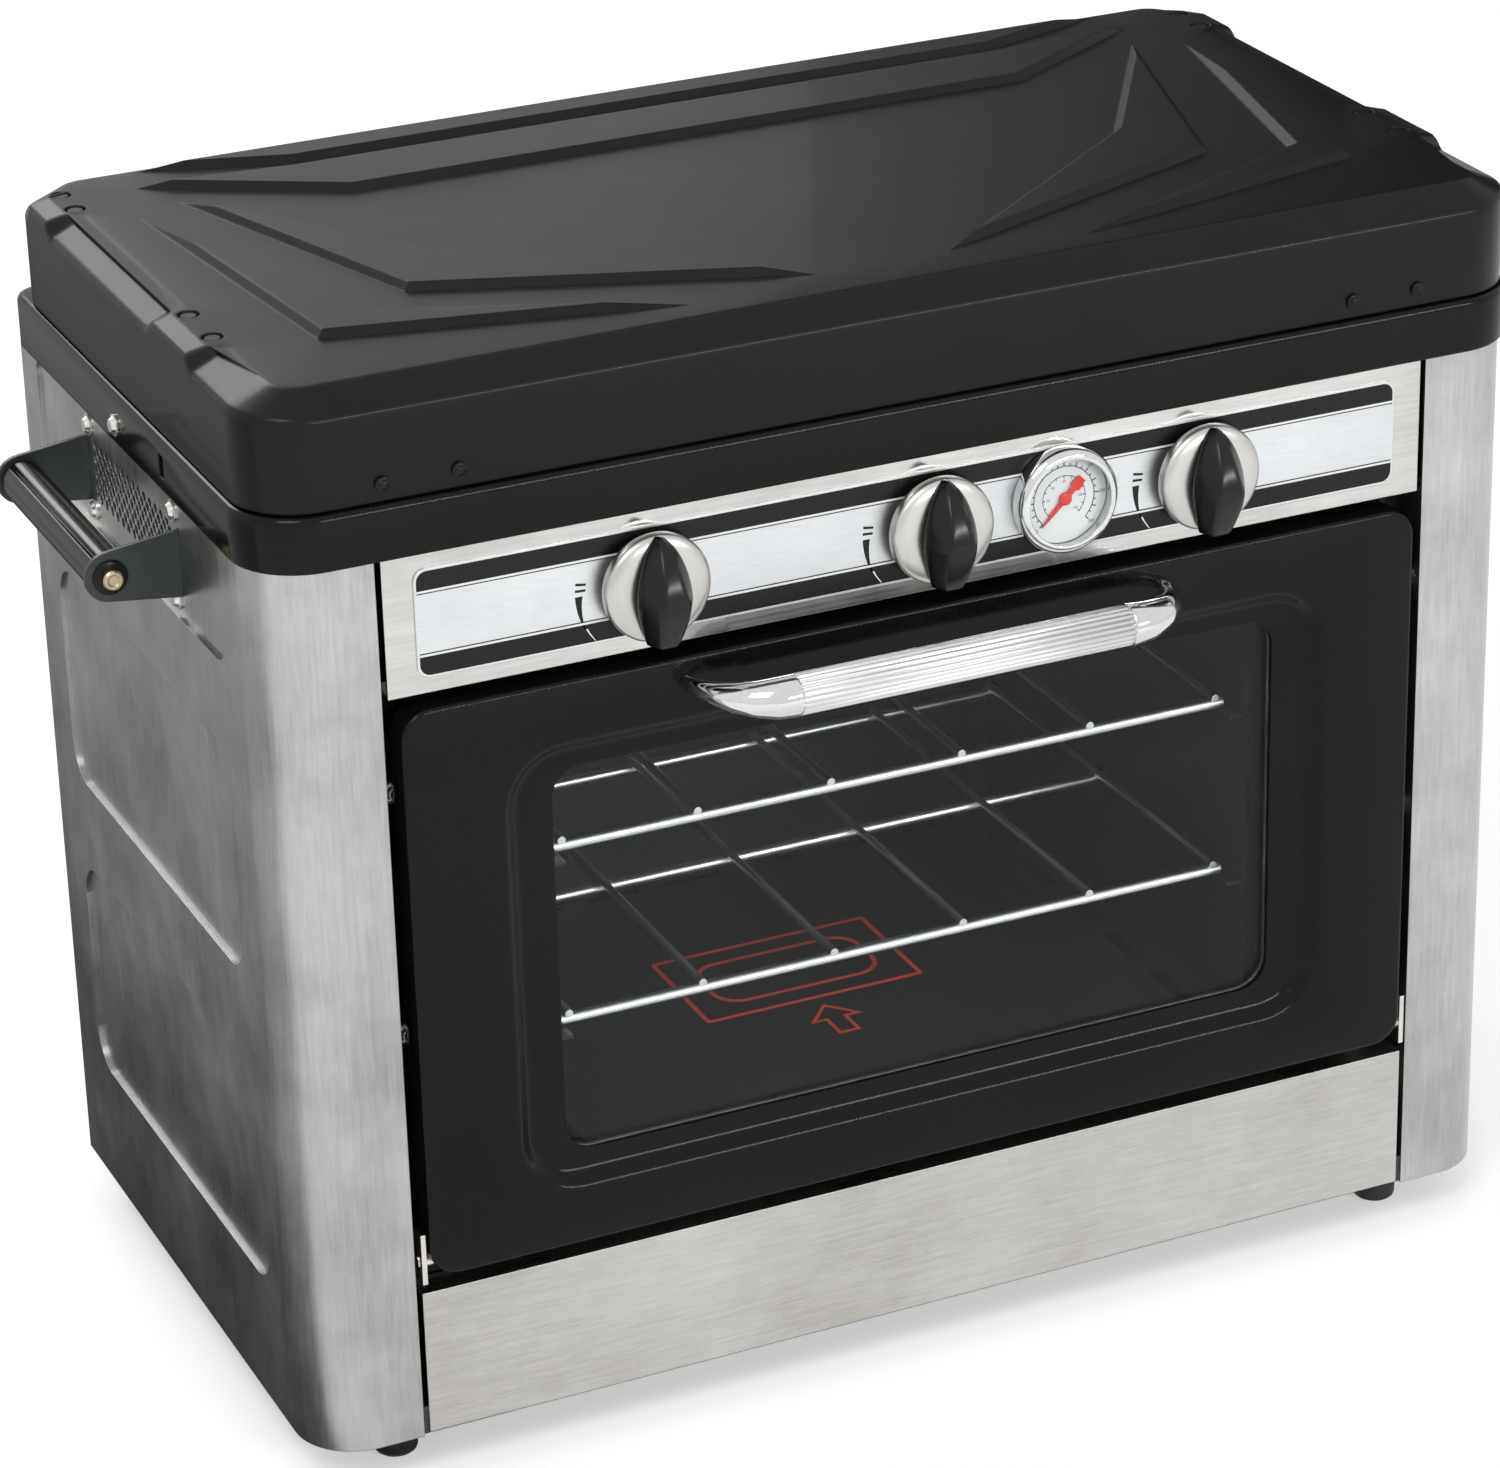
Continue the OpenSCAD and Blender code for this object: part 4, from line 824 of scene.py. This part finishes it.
@dataclass
class SideGrips:
    """The dark tubes that roll on the carry handles' bolts, each with shallow grooves."""

    half: float = 54.0
    radius: float = 8.5
    bore: float = 3.06
    rim: Flat = (0.6, 0.8)
    grooves: int = 3
    first_groove: float = 60.0
    groove_angle: float = 7.0
    groove_depth: float = 1.1
    steps: int = 120

    def build(self) -> None:
        """Makes a tube for each side."""
        apart = 360 / self.grooves
        sizes: list[float] = []
        for i in range(self.steps):
            off = abs((360 * i / self.steps + self.first_groove) % apart - apart / 2)
            sizes.append(self.radius - self.groove_depth * max(0.0, 1 - (off / self.groove_angle) ** 2))
        back, cut = self.rim
        narrow = [r - cut for r in sizes]
        rows = ((narrow, -self.half), (sizes, back - self.half), (sizes, self.half - back), (narrow, self.half),
                (self.bore, self.half), (self.bore, -self.half), (narrow, -self.half))
        for x, name in ((-GRIP_X, "left"), (GRIP_X, "right")):
            rings = [upright(circle(r, self.steps), GRIP_MID_Y + y, x, GRIP_Z) for r, y in rows]
            grip = Bench.loft(f"tube_{name}", rings)
            Bench.settle(grip, FINISHES["grip_plastic"], f"grip_{name}", 45)
            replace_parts(grip, f"side_grip_{name}")


@dataclass
class Door:
    """The enamelled door skin, the cast ends of its handle and the tube between them."""

    width: float = 433.0
    height: float = 240.0
    middle_z: float = 210.8
    face_y: float = FRONT_Y - 4.0
    window: tuple[float, float, float] = (311.0, 164.0, 210.6)
    skin_sheet: float = 0.45
    grip_z: float = CABINET_Z + 302.0
    grip_half: float = 70.0
    grip_out: float = 30.5
    grip_radius: float = 7.4
    rib: Flat = (10.5, 0.75)
    rim_rows: tuple[tuple[float, float, float], ...] = (
        (0, 12.0, 12.8), (0, 12.0, 1.5), (0.25, 11.8, 0.75), (0.75, 11.5, 0.22), (1.6, 11.0, 0.0),
    )
    recess_rows: tuple[tuple[float, float, float, float], ...] = (
        (46, 30, 28.0, 0.0), (43, 27, 26.0, 0.25), (40, 24, 24.0, 1.1), (35, 19, 21.5, 4.3), (31.5, 15.5, 20.0, 5.6),
        (27, 11, 18.0, 6.0), (2.0, 2.0, 13.0, 6.0), (0.6, 0.6, 12.3, 6.15), (0, 0, 12.0, 6.7),
    )
    end_rows: tuple[tuple[float, float, float, float], ...] = (
        (0.0, 30.5, 8.2, 8.2), (1.0, 30.5, 8.6, 8.5), (8.0, 30.0, 8.3, 8.1), (15.0, 27.3, 7.5, 7.1),
        (21.5, 22.4, 6.3, 5.8), (26.5, 15.6, 4.9, 4.5), (30.3, 8.0, 3.5, 3.3), (32.0, -0.3, 2.6, 2.5),
    )

    def skin(self) -> Piece:
        """Makes the pressed skin with its soft recess round the window."""
        w, h, y = self.width, self.height, self.face_y
        ww, wh, wz = self.window
        rings = [upright(rounded_flat(w - 2 * g, h - 2 * g, r), y + d, 0, self.middle_z) for g, r, d in self.rim_rows]
        rings += [upright(rounded_flat(ww + gx, wh + gz, r), y + d, 0, wz) for gx, gz, r, d in self.recess_rows]
        skin = Bench.loft("door_skin", rings)
        Bench.modify(skin, "SOLIDIFY", thickness=self.skin_sheet * MM, offset=-1.0)
        Bench.settle(skin, FINISHES["black_enamel"], Body.DOOR.value, 40)
        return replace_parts(skin, "door_panel")

    def end_rings(self, side: int) -> list[list[Point]]:
        """Rings along one handle end, square to its sweep.

        Args:
            side: -1 for the left end and 1 for the right one.

        Returns:
            The rings, from the grip to the door.
        """
        rings: list[list[Point]] = []
        for k, (run, out, wide, tall) in enumerate(self.end_rows):
            before, after = self.end_rows[max(k - 1, 0)], self.end_rows[min(k + 1, len(self.end_rows) - 1)]
            along = Vector((after[0] - before[0], after[1] - before[1])).normalized()
            ring: list[Point] = []
            for u, v in circle(1.0, 24):
                x = self.grip_half + run + along.y * wide * u
                ring.append((side * x, self.face_y - (out - along.x * wide * u), self.grip_z + tall * v))
            rings.append(ring)
        return rings

    def handle_ends(self) -> Piece:
        """Makes the two chromed ends that sweep from the door to the grip."""
        ends = Bench.join([Bench.loft("handle_end", self.end_rings(s), True) for s in (-1, 1)], "handle_castings")
        Bench.modify(ends, "BEVEL", width=0.6 * MM, segments=2, limit_method="ANGLE", angle_limit=math.radians(50))
        Bench.settle(ends, FINISHES["chrome"], Body.DOOR.value, 50)
        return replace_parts(ends, "door_handle_ends")

    def handle_grip(self) -> Piece:
        """Makes the ribbed tube between the two ends."""
        steps, rim = 168, 0.4
        count, deep = self.rib
        sizes = [self.grip_radius + deep * abs(math.cos(count * 2 * math.pi * i / steps)) for i in range(steps)]
        axis_y = self.face_y - self.grip_out
        rings: list[list[Point]] = []
        half = self.grip_half
        for x, cut in ((-half, rim), (rim - half, 0), (half - rim, 0), (half, rim)):
            rings.append([(x, axis_y - u, self.grip_z + v) for u, v in circle([r - cut for r in sizes], steps)])
        grip = Bench.loft("ribbed_grip", rings, True)
        Bench.settle(grip, FINISHES["grip_aluminium"], Body.DOOR.value, 45)
        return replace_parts(grip, "door_handle_grip")

    def build(self) -> None:
        """Makes the door's new pieces."""
        self.skin()
        self.handle_ends()
        self.handle_grip()


@dataclass
class ControlPanel:
    """The print on the label plate and on the thermometer's dial."""

    label: tuple[float, float, float] = (415.0, 43.5, CABINET_Z + 345.0)
    dial_y: float = FRONT_Y - 2.8
    ink: float = 0.07
    margin: float = 1.0
    band: float = 7.6
    band_corner: float = 4.2
    pinstripe: Flat = (0.9, 0.45)
    knob_marks: tuple[tuple[float, ...], ...] = (
        (27.6, 30.6, 181.0, 208.0, 0.12), (26.4, 30.6, 175.5, 177.5), (26.4, 30.6, 170.5, 172.5),
    )
    knob_tail: tuple[float, ...] = (29.6, 30.2, 208.0, 220.0, 0.5)
    sweep: Flat = (225.0, -45.0)
    dial_steps: int = 24
    dial_rings: tuple[Flat, Flat] = ((13.0, 13.4), (9.1, 9.4))
    ticks: tuple[Flat, Flat] = ((13.1, 15.0), (13.1, 14.2))
    inner_tick: Flat = (8.2, 9.4)
    numbers: tuple[tuple[float, float, int], ...] = ((16.6, 1.9, 50), (6.9, 1.5, 20))

    def _plates(self, name: str, outlines: Sequence[Sequence[Flat]], y: float, finish: Finish,
                lay: float = 0.0) -> Piece:
        """Makes thin printed areas.

        Args:
            name: The piece's name.
            outlines: Closed outlines in X and Z.
            y: Depth of the face that they lie on.
            finish: The print's finish.
            lay: Extra distance from that face.

        Returns:
            The printed piece.
        """
        points: list[Point] = []
        faces: list[list[int]] = []
        for outline in outlines:
            n, first = len(outline), len(points)
            for d in (0.0, self.ink):
                points += [(u, y - lay - d, v) for u, v in outline]
            faces += [list(range(first, first + n)), list(range(first + n, first + 2 * n)), *strip(first, n)]
        piece = Bench.from_points(name, points, faces)
        return Bench.settle(piece, finish, Body.CABINET.value)

    @staticmethod
    def _bar(x0: float, x1: float, z0: float, z1: float) -> list[Flat]:
        """Outline of an upright rectangle."""
        return [(x0, z0), (x1, z0), (x1, z1), (x0, z1)]

    @staticmethod
    def _arc(cx: float, cz: float, r0: float, r1: float, a0: float, a1: float, taper: float = 1.0) -> list[Flat]:
        """Outline of an arc whose inner edge closes in on the outer by taper."""
        steps = 14
        outer, inner = [], []
        for i in range(steps + 1):
            t = i / steps
            a = math.radians(a0 + (a1 - a0) * t)
            near = r0 + (r1 - r0) * (1 - taper) * t
            outer.append((cx + r1 * math.cos(a), cz + r1 * math.sin(a)))
            inner.append((cx + near * math.cos(a), cz + near * math.sin(a)))
        return outer + inner[::-1]

    def label_print(self) -> None:
        """Prints the bands, the pinstripes and the scales beside the knobs."""
        w, h, z = self.label
        half, reach, r = h / 2 - self.margin, w / 2 - self.margin, self.band_corner
        pale, dark = self.pinstripe
        black: list[list[Flat]] = []
        white: list[list[Flat]] = []
        for s in (-1, 1):
            edge, foot = z + s * half, z + s * (half - self.band)
            corner = [(reach - r + r * math.sin(math.radians(a)), edge - s * r + s * r * math.cos(math.radians(a)))
                      for a in range(0, 91, 15)]
            black.append([(reach, foot), (-reach, foot)] + [(-u, v) for u, v in corner[::-1]] + corner)
            white.append(self._bar(-reach, reach, *sorted((foot, foot - s * pale))))
            black.append(self._bar(-reach, reach, *sorted((foot - s * pale, foot - s * (pale + dark)))))
        for x in KNOB_XS.values():
            black += [self._arc(x, CONTROL_Z, *mark) for mark in self.knob_marks]
            white.append(self._arc(x, CONTROL_Z, *self.knob_tail))
        self._plates("label_print_black", black, PANEL_Y, PRINT_BLACK)
        self._plates("label_print_white", white, PANEL_Y, PRINT_WHITE, 0.03)

    def number(self, value: int, radius: float, size: float, angle: float) -> Piece:
        """Makes one number of the dial.

        Args:
            value: The number.
            radius: Its distance from the dial's middle.
            size: Its height.
            angle: Its direction in degrees.

        Returns:
            The number as a mesh.
        """
        a = math.radians(angle)
        place = Vector((DIAL[0] + radius * math.cos(a), self.dial_y - 0.02, DIAL[1] + radius * math.sin(a)))
        Bench.deselect()
        bpy.ops.object.text_add(location=place * MM, rotation=(math.pi / 2, 0, 0))
        text = bpy.context.object.data
        text.body, text.size, text.extrude = str(value), size * MM, 0.03 * MM
        text.align_x, text.align_y = "CENTER", "CENTER"
        bpy.ops.object.convert(target="MESH")
        bpy.ops.object.transform_apply(location=True, rotation=True, scale=True)
        bpy.context.object.data.materials.append(Bench.look(DIAL_INK))
        return bpy.context.object

    def dial_print(self) -> None:
        """Prints the thermometer's two scales with their numbers."""
        start, end = self.sweep
        marks = [self._arc(*DIAL, *radii, start, end) for radii in self.dial_rings]
        angles = [start + (end - start) * i / self.dial_steps for i in range(self.dial_steps + 1)]
        for i, a in enumerate(angles):
            marks.append(self._arc(*DIAL, *self.ticks[i % 2], a - 1.0, a + 1.0))
            if i % 2 == 0:
                marks.append(self._arc(*DIAL, *self.inner_tick, a - 1.3, a + 1.3))
        pieces = [self._plates("dial_scales", marks, self.dial_y, DIAL_INK)]
        for i, a in enumerate(angles[::4]):
            for radius, size, step in self.numbers:
                pieces.append(self.number(i * step, radius, size, a))
        Bench.join(pieces, "dial_scales")

    def build(self) -> None:
        """Prints the label and the dial."""
        self.label_print()
        self.dial_print()


@dataclass
class Knobs:
    """The turned knob discs and their black grips, pointed at the top and blunt below."""

    back_y: float = PANEL_Y - 3.6
    bore: Flat = (3.06, 18.6)
    dome: tuple[Flat, ...] = (
        (3.06, 6.5), (12.0, 6.5), (16.0, 6.3), (18.5, 5.85), (20.2, 5.2), (21.1, 4.4), (21.5, 3.3),
    )
    back: tuple[Flat, ...] = ((21.5, 0.5), (21.0, 0.0), (3.06, 0.0))
    rows: tuple[tuple[float, float, float, float], ...] = (
        (21.7, 0.8, 0.6, 0.4), (20.6, 2.6, 2.8, 0.35), (17.8, 5.4, 6.0, 0.3), (13.5, 8.0, 9.2, 0.3),
        (8.5, 9.9, 11.9, 0.3), (3.5, 11.2, 13.7, 0.36), (-1.0, 11.7, 14.5, 0.42), (-3.5, 11.7, 14.4, 0.46),
        (-8.5, 11.0, 12.5, 0.5), (-13.5, 9.5, 10.3, 0.5), (-18.0, 8.2, 8.2, 0.5), (-20.8, 6.8, 6.6, 0.5),
        (-21.1, 6.4, 6.2, 0.5),
    )

    def rise(self, r: float) -> float:
        """Height of the disc's face at a radius."""
        for (r0, h0), (r1, h1) in zip(self.dome, self.dome[1:]):
            if r <= r1:
                return h0 + (h1 - h0) * max(r - r0, 0) / (r1 - r0)
        return self.dome[-1][1]

    def section(self, z: float, half: float, deep: float, narrow: float) -> list[Flat]:
        """Half-width and depth of the points round the grip at one height.

        Args:
            z: Height above the knob's axis.
            half: Half-width at the disc.
            deep: How far the front stands out of the disc.
            narrow: Share of the width left at the front.

        Returns:
            The points, from one side over the front to the other.
        """
        face = self.dome[0][1]
        low = self.rise(abs(z)) + 0.05
        front = face + deep
        tip = half * narrow
        side = [
            (half, low),
            (0.96 * half, low + 0.3 * (front - low)),
            (tip + 0.4 * (half - tip), low + 0.72 * (front - low)),
            (tip + 0.08 * (half - tip), front - 0.04 * (front - low)),
            (tip * 0.85, front),
        ]
        return side + [(-u, v) for u, v in side[::-1]]

    def build(self) -> None:
        """Makes the disc and the grip of each knob."""
        profile = [(r, self.back_y - h) for r, h in (*self.dome, *self.back)]
        for name, x in KNOB_XS.items():
            disc = Bench.lathe(f"disc_{name}", (x, CONTROL_Z), profile)
            Bench.settle(disc, FINISHES["knob_metal"], f"knob_{name}", 40)
            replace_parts(disc, f"knob_disc_{name}")
            rings = [[(x + u, self.back_y - v, CONTROL_Z + row[0]) for u, v in self.section(*row)]
                     for row in self.rows]
            grip = Bench.loft(f"grip_{name}", rings, True)
            Bench.modify(grip, "SUBSURF", levels=2, render_levels=2)
            Bench.cut(grip, Bench.rod((x, self.back_y, CONTROL_Z), *self.bore, 32))
            Bench.settle(grip, FINISHES["knob_plastic"], f"knob_{name}", 50)
            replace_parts(grip, f"knob_grip_{name}")


@dataclass
class Bezel:
    """The thermometer's turned case with its polished, sloping rim."""

    profile: tuple[Flat, ...] = (
        (1.26, -8), (6, -8), (6, 0), (20.6, 0), (21.2, 0.4), (21.5, 1.2), (21.5, 5.4), (21.3, 6.3), (20.8, 7.1),
        (20.1, 7.8), (19.2, 8.3), (18.3, 8.4), (17.7, 8.3), (17.5, 8.0), (17.5, 7.25), (18.6, 7.25), (18.6, 1.4),
        (1.26, 1.4),
    )

    def build(self) -> Piece:
        """Makes the case."""
        case = Bench.lathe("bezel", DIAL, [(r, PANEL_Y - h) for r, h in self.profile])
        Bench.settle(case, FINISHES["chrome"], Body.CABINET.value, 40)
        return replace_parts(case, "thermometer_case")


@dataclass
class Needle:
    """The red needle, its thin end at the low end of the scale."""

    y: float = FRONT_Y - 3.7
    thick: float = 0.6
    low_end: float = 135.0
    hub: Flat = (2.6, 1.4)
    outline: tuple[Flat, ...] = (
        (-1.15, 0), (-0.2, 14.5), (0.2, 14.5), (1.15, 0), (1.15, -5), (2.4, -6.2), (1.7, -10.5), (-1.7, -10.5),
        (-2.4, -6.2), (-1.15, -5),
    )

    def build(self) -> Piece:
        """Makes the needle with its hub."""
        turn = Matrix.Rotation(math.radians(self.low_end), 2)
        flat = [tuple(turn @ Vector(p)) for p in self.outline]
        blade = Bench.loft("needle_blade", [upright(flat, self.y - d, *DIAL) for d in (0.0, self.thick)], True)
        hub = Bench.rod((DIAL[0], self.y - 0.5, DIAL[1]), *self.hub, 24)
        bpy.ops.object.transform_apply(location=True, rotation=True, scale=True)
        Bench.modify(hub, "BEVEL", width=0.4 * MM, segments=3)
        Bench.join([blade, hub], "needle_blade")
        Bench.settle(blade, FINISHES["needle_paint"], "thermometer_needle")
        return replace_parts(blade, "thermometer_needle")


@dataclass
class Feet:
    """The rubber feet, the front pair close behind the front edge."""

    profile: tuple[Flat, ...] = (
        (0.0, 0.0), (6.6, 0.0), (7.7, 0.3), (8.5, 1.0), (8.9, 2.2), (9.0, 14.0), (8.8, 17.4), (14.6, 17.6),
        (14.6, 18.95), (0.0, 18.95),
    )
    half_x: float = 225.0
    ys: Flat = (FRONT_Y + 26.5, REAR_Y - 38.0)

    def build(self) -> Piece:
        """Makes the four feet as one piece."""
        places = [(x, y) for x in (-self.half_x, self.half_x) for y in self.ys]
        feet = Bench.join([
            Bench.loft("foot", [[(x + u, y + v, z) for u, v in circle(r, 48)] for r, z in self.profile])
            for x, y in places
        ], "feet")
        Bench.settle(feet, FINISHES["rubber"], Body.CABINET.value, 40)
        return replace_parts(feet, "rubber_feet")


@dataclass
class GripBolts:
    """The bolts that the side grips roll on, with a dark washer under each end."""

    reach: float = 56.5
    shank: Flat = (3.0, 1.1)
    washer: tuple[Flat, ...] = ((3.1, 0.0), (6.9, 0.0), (6.9, 0.8), (6.4, 1.2), (3.1, 1.2))
    head: tuple[Flat, ...] = ((0.0, 1.2), (4.1, 1.2), (4.1, 4.1), (3.4, 4.8), (2.4, 4.8), (2.0, 4.3), (0.0, 4.3))

    def build(self) -> None:
        """Makes the bolts and their washers."""
        bolts: list[Piece] = []
        washers: list[Piece] = []
        radius, past = self.shank
        y0, y1 = GRIP_MID_Y - self.reach, GRIP_MID_Y + self.reach
        for x in (-GRIP_X, GRIP_X):
            for side, y in ((-1, y0), (1, y1)):
                for name, made, profile in (("washer", washers, self.washer), ("head", bolts, self.head)):
                    made.append(Bench.lathe(name, (x, GRIP_Z), [(r, y + side * d) for r, d in profile], 48))
            ends = (y0 - past, y1 + past)
            shank = [(0.0, ends[0]), (radius, ends[0]), (radius, ends[1]), (0.0, ends[1])]
            bolts.append(Bench.lathe("shank", (x, GRIP_Z), shank, 48))
        for name, finish, made in (("grip_bolts", "bolt_zinc", bolts), ("bolt_washers", "black_screw", washers)):
            Bench.settle(Bench.join(made, name), FINISHES[finish], Body.CABINET.value, 40)
        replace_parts(bolts[0], "handle_bolts")


@dataclass
class OvenMarking:
    """The generic red outline and arrow on the oven floor."""

    floor_z: float = CABINET_Z + 92.0
    centre_y: float = 9.25
    outer: Flat = (100.0, 60.0)
    inner_gap: Flat = (24.0, 22.0)
    line: float = 2.0
    paint: float = 0.12
    arrow: tuple[Flat, ...] = (
        (0.0, -36.0), (-12.0, -50.0), (-5.0, -50.0), (-5.0, -63.0), (5.0, -63.0), (5.0, -50.0), (12.0, -50.0),
    )

    def build(self) -> Piece:
        """Makes the painted marking."""
        points: list[Point] = []
        faces: list[list[int]] = []

        def band(a: Sequence[Flat], b: Sequence[Flat]) -> None:
            faces.extend(strip(len(points), len(a)))
            points.extend((u, self.centre_y + v, self.floor_z + 0.02) for u, v in (*a, *b))

        w, d = self.outer
        t = self.line
        inner_w, inner_d = w - self.inner_gap[0], d - self.inner_gap[1]
        band(rounded_flat(w, d, 2.0), rounded_flat(w - 2 * t, d - 2 * t, 1.0))
        band(rounded_flat(inner_w, inner_d, 12), rounded_flat(inner_w - 2 * t, inner_d - 2 * t, 10.5))
        band(self.arrow, LidShell.drawn_in(self.arrow, t * 0.8))
        mark = Bench.from_points("floor_marking", points, faces)
        Bench.modify(mark, "SOLIDIFY", thickness=self.paint * MM, offset=0.0)
        return Bench.settle(mark, MARK_RED, Body.CABINET.value)


def dress_nodes(frame: dict) -> None:
    """Gives every CAD node the finish of its slot.
    """
    for name, node in frame["nodes"].items():
        for place, old in enumerate(list(node.data.materials)):
            slot = old.name.split(".")[0]
            if slot in FINISHES:
                node.data.materials[place] = Bench.look(NODE_LOOKS.get(name, FINISHES[slot]))
            LOG.info("%s: %s", name, slot)


def main() -> None:
    """Builds the scene in order."""
    logging.basicConfig(level=logging.INFO, format="%(name)s %(message)s")
    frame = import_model()
    Studio().build()
    dress_nodes(frame)
    for part in (LidShell, TopBand, SideGrips, Door, ControlPanel, Knobs, Bezel, Needle, Feet, GripBolts,
                 OvenMarking):
        part().build()


if __name__ == "__main__":
    main()
